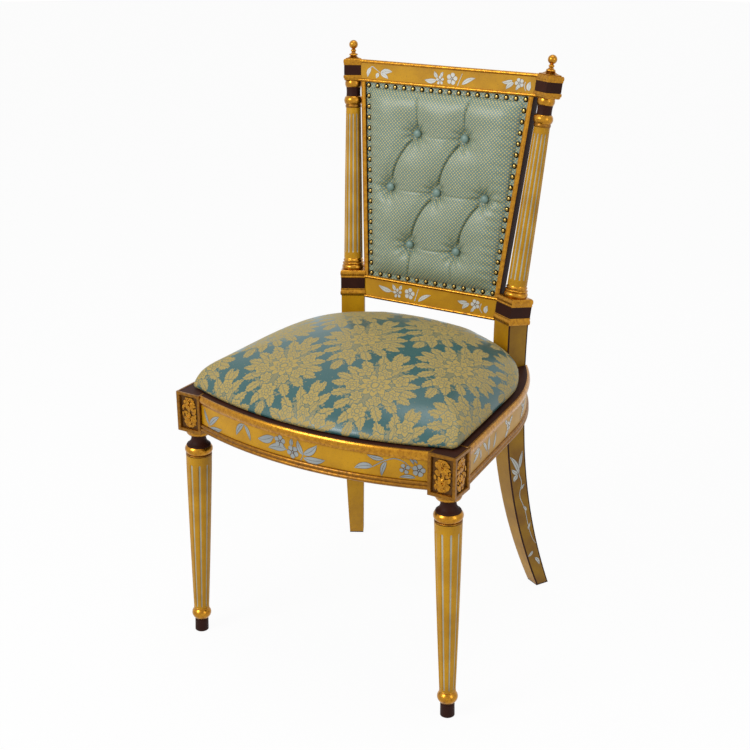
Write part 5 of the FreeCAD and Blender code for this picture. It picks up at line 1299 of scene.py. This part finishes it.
# %% Make the cushion
def cushion():
    rings, around = 56, 288
    outline = cushion_outline(around)
    crown = (CUSHION_MIDDLE + Vector((0, CUSHION_DRIFT))) * MM
    profile = along_profile(CUSHION_PROFILE, rings)[:-1]
    levels = []
    for share, rise in profile:
        middle = CUSHION_MIDDLE + Vector((0, CUSHION_DRIFT * rise))
        height = CUSHION_LOW + CUSHION_TALL * rise
        rounding = max(0.0, (rise - 0.3) / 0.7) ** 1.3
        ring = []
        for spot in outline:
            flat = spot - CUSHION_MIDDLE
            oval = flat / math.hypot(flat.x / CROWN_OVAL[0], flat.y / CROWN_OVAL[1])
            ring.append((*(middle + flat.lerp(oval, rounding) * share), height))
        levels.append(ring)
    mesh = bmesh.new()
    ends = loft(mesh, levels, Matrix.Identity(4))
    bmesh.ops.recalc_face_normals(mesh, faces=mesh.faces)
    layer = mesh.loops.layers.uv.new("cloth")
    reach = {}
    for column in range(around):
        run = 0.0
        last = None
        for level in range(len(levels) - 1, -1, -1):
            vertex = ends[level][column]
            run += (vertex.co - last).length if last else (vertex.co.xy - crown).length
            last = vertex.co
            reach[vertex] = run
    for face in mesh.faces:
        for loop in face.loops:
            flat = loop.vert.co.xy - crown
            loop[layer].uv = flat.normalized() * reach[loop.vert] + Vector((0, DAMASK_SHIFT * MM))
    flat = [loop[layer].uv / MM for face in mesh.faces for loop in face.loops]
    ways = {"across": [spot.x for spot in flat], "from front to back": [spot.y for spot in flat]}
    for name, row in ways.items():
        print("seat cloth", name, round(max(row) - min(row)), "mm")
    mesh.verts.index_update()
    held = [1.0 if vertex.co.z < (CUSHION_LOW + 4.0) * MM else 0.0 for vertex in mesh.verts]
    data = bpy.data.meshes.new("seat_cushion")
    mesh.to_mesh(data)
    mesh.free()
    data.materials.append(seat_damask)
    data.shade_smooth()
    piece = add_object("seat_cushion", data)
    moved = inflate(piece, held, 2.5, 16, 8.0)
    print("cushion: cloth moved at most", round(moved, 1), "mm")
    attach(piece, "root")
    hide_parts("seat_cover", "seat_foam")


cushion()

# %% [markdown]
# ## Buttoned back
# The back is a thin pad under a light silk, pulled in by seven buttons and nailed all round. Seen close, each
# button sits in a dimple, and soft folds run from button to button and out to the edges. The pad is one fine
# grid. A small function gives its depth at any place: border, crown, dimples and folds.

# %% Silk of the back
def spotted_silk(name, ground, light, dot):
    """Pale satin with woven dots 4.2 mm apart, in staggered rows."""
    material, shader = new_material(name)
    cloth = add_node(material, "UVMap", {"uv_map": "cloth"})[0]
    lattice = add_node(material, "Mapping", {},
                       {"Vector": cloth, "Rotation": (0, 0, math.radians(45)),
                        "Scale": [1 / (4.2 * MM)] * 2 + [0]})
    shake = add_node(material, "TexNoise", {}, {"Vector": lattice[0], "Scale": 0.8})
    moved = add_node(material, "VectorMath", "MULTIPLY_ADD",
                     {0: shake["Color"], 1: (0.35, 0.35, 0), 2: lattice[0]})
    inside = add_node(material, "VectorMath", "FRACTION", {0: moved[0]})
    away = add_node(material, "VectorMath", "DISTANCE", {0: inside[0], 1: (0.5, 0.5, 0)})["Value"]
    spot = add_node(material, "MapRange", {}, {"Value": away, "From Min": 0.34, "From Max": 0.24})
    tone = add_node(material, "TexNoise", {}, {"Vector": cloth, "Scale": 1 / (5 * MM), "Detail": 4.0})
    base = add_node(material, "Mix", BLEND, {"Factor": tone["Fac"], "A": linear(ground), "B": linear(light)})
    mixed = add_node(material, "Mix", BLEND, {"Factor": spot[0], "A": base["Result"], "B": linear(dot)})
    threads = add_node(material, "TexWave", {},
                       {"Vector": cloth, "Scale": 1 / (1.2 * MM) / 6.28, "Distortion": 0.4})
    raised = add_node(material, "Math", "MULTIPLY_ADD", {0: threads["Fac"], 1: 0.2, 2: spot[0]})
    bump = add_node(material, "Bump", {}, {"Height": raised[0], "Strength": 0.3, "Distance": 0.2 * MM})
    fill(material, shader, {"Base Color": mixed["Result"], "Normal": bump[0], "Roughness": 0.42, "IOR": 1.5,
                            "Specular IOR Level": 0.6, "Sheen Weight": 0.3, "Sheen Roughness": 0.4,
                            "Sheen Tint": linear("#D5E6E4")})
    return material


back_silk = spotted_silk("sage_spotted_silk", "#57746F", "#718D86", "#C6B670")
button_silk = spotted_silk("button_silk", "#658078", "#7D978C", "#A8A878")

# %% Shape of the buttoned pad
BORDER, NAILED_MARGIN, ROLL = -3.5, 8.5, 40
CROWN, PUCKER_PITCH = 17.0, 15.3
TUFT_MIDDLE = 285.0
TUFTS = [(x, TUFT_MIDDLE + up) for x, up in
         ((-45, 95), (45, 95), (-90, 0), (0, 0), (90, 0), (-45, -95), (45, -95))]
FOLDS = [((-45, 380), (-90, 285), -7, 1.0), ((45, 380), (0, 285), -7, 1.0), ((0, 285), (-45, 190), -7, 1.0),
         ((90, 285), (45, 190), -7, 1.0), ((-45, 380), (-48, 446), -3, 0.45), ((45, 380), (52, 446), 3, 0.7),
         ((-45, 190), (-44, 136), 4, 0.7), ((45, 190), (43, 136), -3, 0.5), ((-90, 285), (0, 285), -3, 0.3),
         ((0, 285), (90, 285), -3, 0.3), ((90, 285), (124, 281), 2, 0.6), ((-90, 285), (-122, 288), 2, 0.4),
         ((-45, 190), (45, 190), -4, 0.25), ((-45, 380), (45, 380), -4, 0.15)]


def step_up(value):
    value = min(max(value, 0.0), 1.0)
    return value * value * (3 - 2 * value)


def fold_points(start, end, bend):
    spine = curve_between(start, end, bend)
    return [spine(step / 8) for step in range(9)]


def near_line(spot, points):
    """Distance from a spot to a bent line, and how far along the line the nearest place is."""
    best, share_at = 1e9, 0.0
    for number, (low, high) in enumerate(zip(points, points[1:])):
        along = high - low
        share = min(max((spot - low).dot(along) / along.length_squared, 0.0), 1.0)
        gap = (spot - low - along * share).length
        if gap < best:
            best, share_at = gap, (number + share) / (len(points) - 1)
    return best, share_at


FOLD_LINES = [(fold_points(start, end, bend), weight) for start, end, bend, weight in FOLDS]


def pad_depth(x, up):
    """How far the silk stands in front of its nailed border, in millimetres."""
    beside = panel_half(up) - abs(x)
    ends = min(up - PANEL_LOW, PANEL_HIGH - up)
    rise = 1.0
    for edge in (beside * 0.996, ends):
        inward = min(max((edge - NAILED_MARGIN) / ROLL, 0.0), 1.0)
        rise *= (1 - (1 - inward) ** 2.4) ** 0.62
    depth = CROWN * rise
    spot = Vector((x, up))
    for points, weight in FOLD_LINES:
        gap, share = near_line(spot, points)
        if gap < 34:
            middle = weight * (1 - 0.35 * math.sin(math.pi * share))
            depth -= rise * middle * (7.5 * math.exp(-(gap / 1.5) ** 2) + 4.6 * math.exp(-(gap / 12) ** 2))
    for x_tuft, up_tuft in TUFTS:
        gap = math.hypot(x - x_tuft, up - up_tuft)
        if gap < 70:
            angle = math.atan2(up - up_tuft, x - x_tuft)
            gathers = 0.8 * math.cos(9 * angle + x_tuft) * math.exp(-((gap - 15) / 9) ** 2)
            wide, narrow = 7.0 * math.exp(-(gap / 31) ** 2), 7.6 * math.exp(-(gap / 13) ** 2)
            depth -= rise * (wide + narrow + 1.5 * gathers)
    pulled = math.exp(-((beside - 17) / 13) ** 2)
    depth += 0.8 * pulled * math.cos(2 * math.pi * (up + 0.15 * x) / PUCKER_PITCH) * rise
    small = noise.noise(Vector((x, up, 0)) / 26) * 0.7
    return max(depth + small * rise, 0.0 if rise < 0.02 else 0.6)


def back_pad():
    mesh = bmesh.new()
    grid = bmesh.ops.create_grid(mesh, x_segments=176, y_segments=200, size=0.5)["verts"]
    layer = mesh.loops.layers.uv.new("cloth")
    flat = {}
    for vertex in grid:
        up = PANEL_LOW + 0.3 + (vertex.co.y + 0.5) * (PANEL_HIGH - PANEL_LOW - 0.6)
        x = vertex.co.x * 2 * (panel_half(up) - 0.3)
        flat[vertex] = Vector((x, up)) * MM
        vertex.co = back_frame() @ (Vector((x, BORDER - pad_depth(x, up), up)) * MM)
    for face in mesh.faces:
        for loop in face.loops:
            loop[layer].uv = flat[loop.vert]
    rim = [edge for edge in mesh.edges if edge.is_boundary]
    walls = bmesh.ops.extrude_edge_only(mesh, edges=rim)["geom"]
    behind = [item for item in walls if isinstance(item, bmesh.types.BMVert)]
    bmesh.ops.translate(mesh, verts=behind, vec=back_frame().to_3x3() @ Vector((0, 5.2 * MM, 0)))
    edges = [item for item in walls if isinstance(item, bmesh.types.BMEdge)]
    bmesh.ops.contextual_create(mesh, geom=[edge for edge in edges if edge.is_boundary])
    piece = seat_piece("buttoned_pad", mesh, [back_silk], ["back_cover", "back_foam"],
                       sharp=60)
    wide = [Vector((x, pad_depth(x, 330))) for x in range(-int(panel_half(330)), int(panel_half(330)), 2)]
    tall = [Vector((up, pad_depth(20, up))) for up in range(int(PANEL_LOW) + 1, int(PANEL_HIGH), 2)]
    for name, row in (("across", wide), ("from top to bottom", tall)):
        print("silk of the back", name, round(sum((b - a).length for a, b in zip(row, row[1:]))), "mm")


back_pad()


# %% Buttons and nails
CROWN_SHARE = 0.80


def domes(name, spots, radius, tall, lift, rings, materials, nodes):
    """Round heads on the back's plane; the first material is the rim's and the last the crown's. On the nails
    these are a painted dark reflection and a painted highlight.
    """
    mesh = bmesh.new()
    place = back_frame()
    for x, up in spots:
        spot = place @ at(x, lift, up) @ Matrix.Rotation(math.pi / 2, 4, "X")
        angles = [math.pi / 2 * (step + 1) / rings for step in range(rings - 1)]
        dome = [(radius * math.cos(angle), tall * math.sin(angle)) for angle in angles]
        for face in turn(mesh, [(0, -0.05), (radius, 0)] + dome + [(0, tall)], spot, steps=16):
            if (spot.inverted() @ face.calc_center_median()).z > tall * MM * CROWN_SHARE:
                face.material_index = len(materials) - 1
    seat_piece(name, mesh, materials, nodes)


def nail_spots():
    margin = 5.3
    low, high = PANEL_LOW + margin, PANEL_HIGH - margin
    low_half, high_half = panel_half(low) - margin, panel_half(high) - margin
    spots = [(high_half * (2 * number / 17 - 1), high) for number in range(18)]
    spots += [(low_half * (2 * number / 13 - 1), low) for number in range(14)]
    for side in (1, -1):
        for number in range(1, 18):
            share = number / 18
            spots.append((side * (low_half + (high_half - low_half) * share), low + (high - low) * share))
    return spots


# Nail heads: a painted dark reflection round the rim and a painted highlight on the crown.
domes("nail_heads", nail_spots(), 4.7, 2.6, BORDER + 0.1, 6, [nail_dark_reflection_rim, nail_highlight_crown], ["back_nails"])
domes("covered_buttons", TUFTS, 7.2, 4.2, BORDER - 3.0, 7, [button_silk], ["back_buttons"])


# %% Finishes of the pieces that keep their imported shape
def finish_nodes(material, *names):
    for name in names:
        for slot in bpy.data.objects[name].material_slots:
            slot.material = material


finish_nodes(beech, "back_board", "seat_board", "corner_brace_front_left", "corner_brace_front_right",
             "corner_brace_rear_left", "corner_brace_rear_right")
# The rear seat rail takes the darker ochre, painted shade.
finish_nodes(shaded_ochre, "seat_rail_back")
finish_nodes(lining, "dust_cover", "outside_back")
finish_nodes(zinc, "brace_screws", "deck_screws")
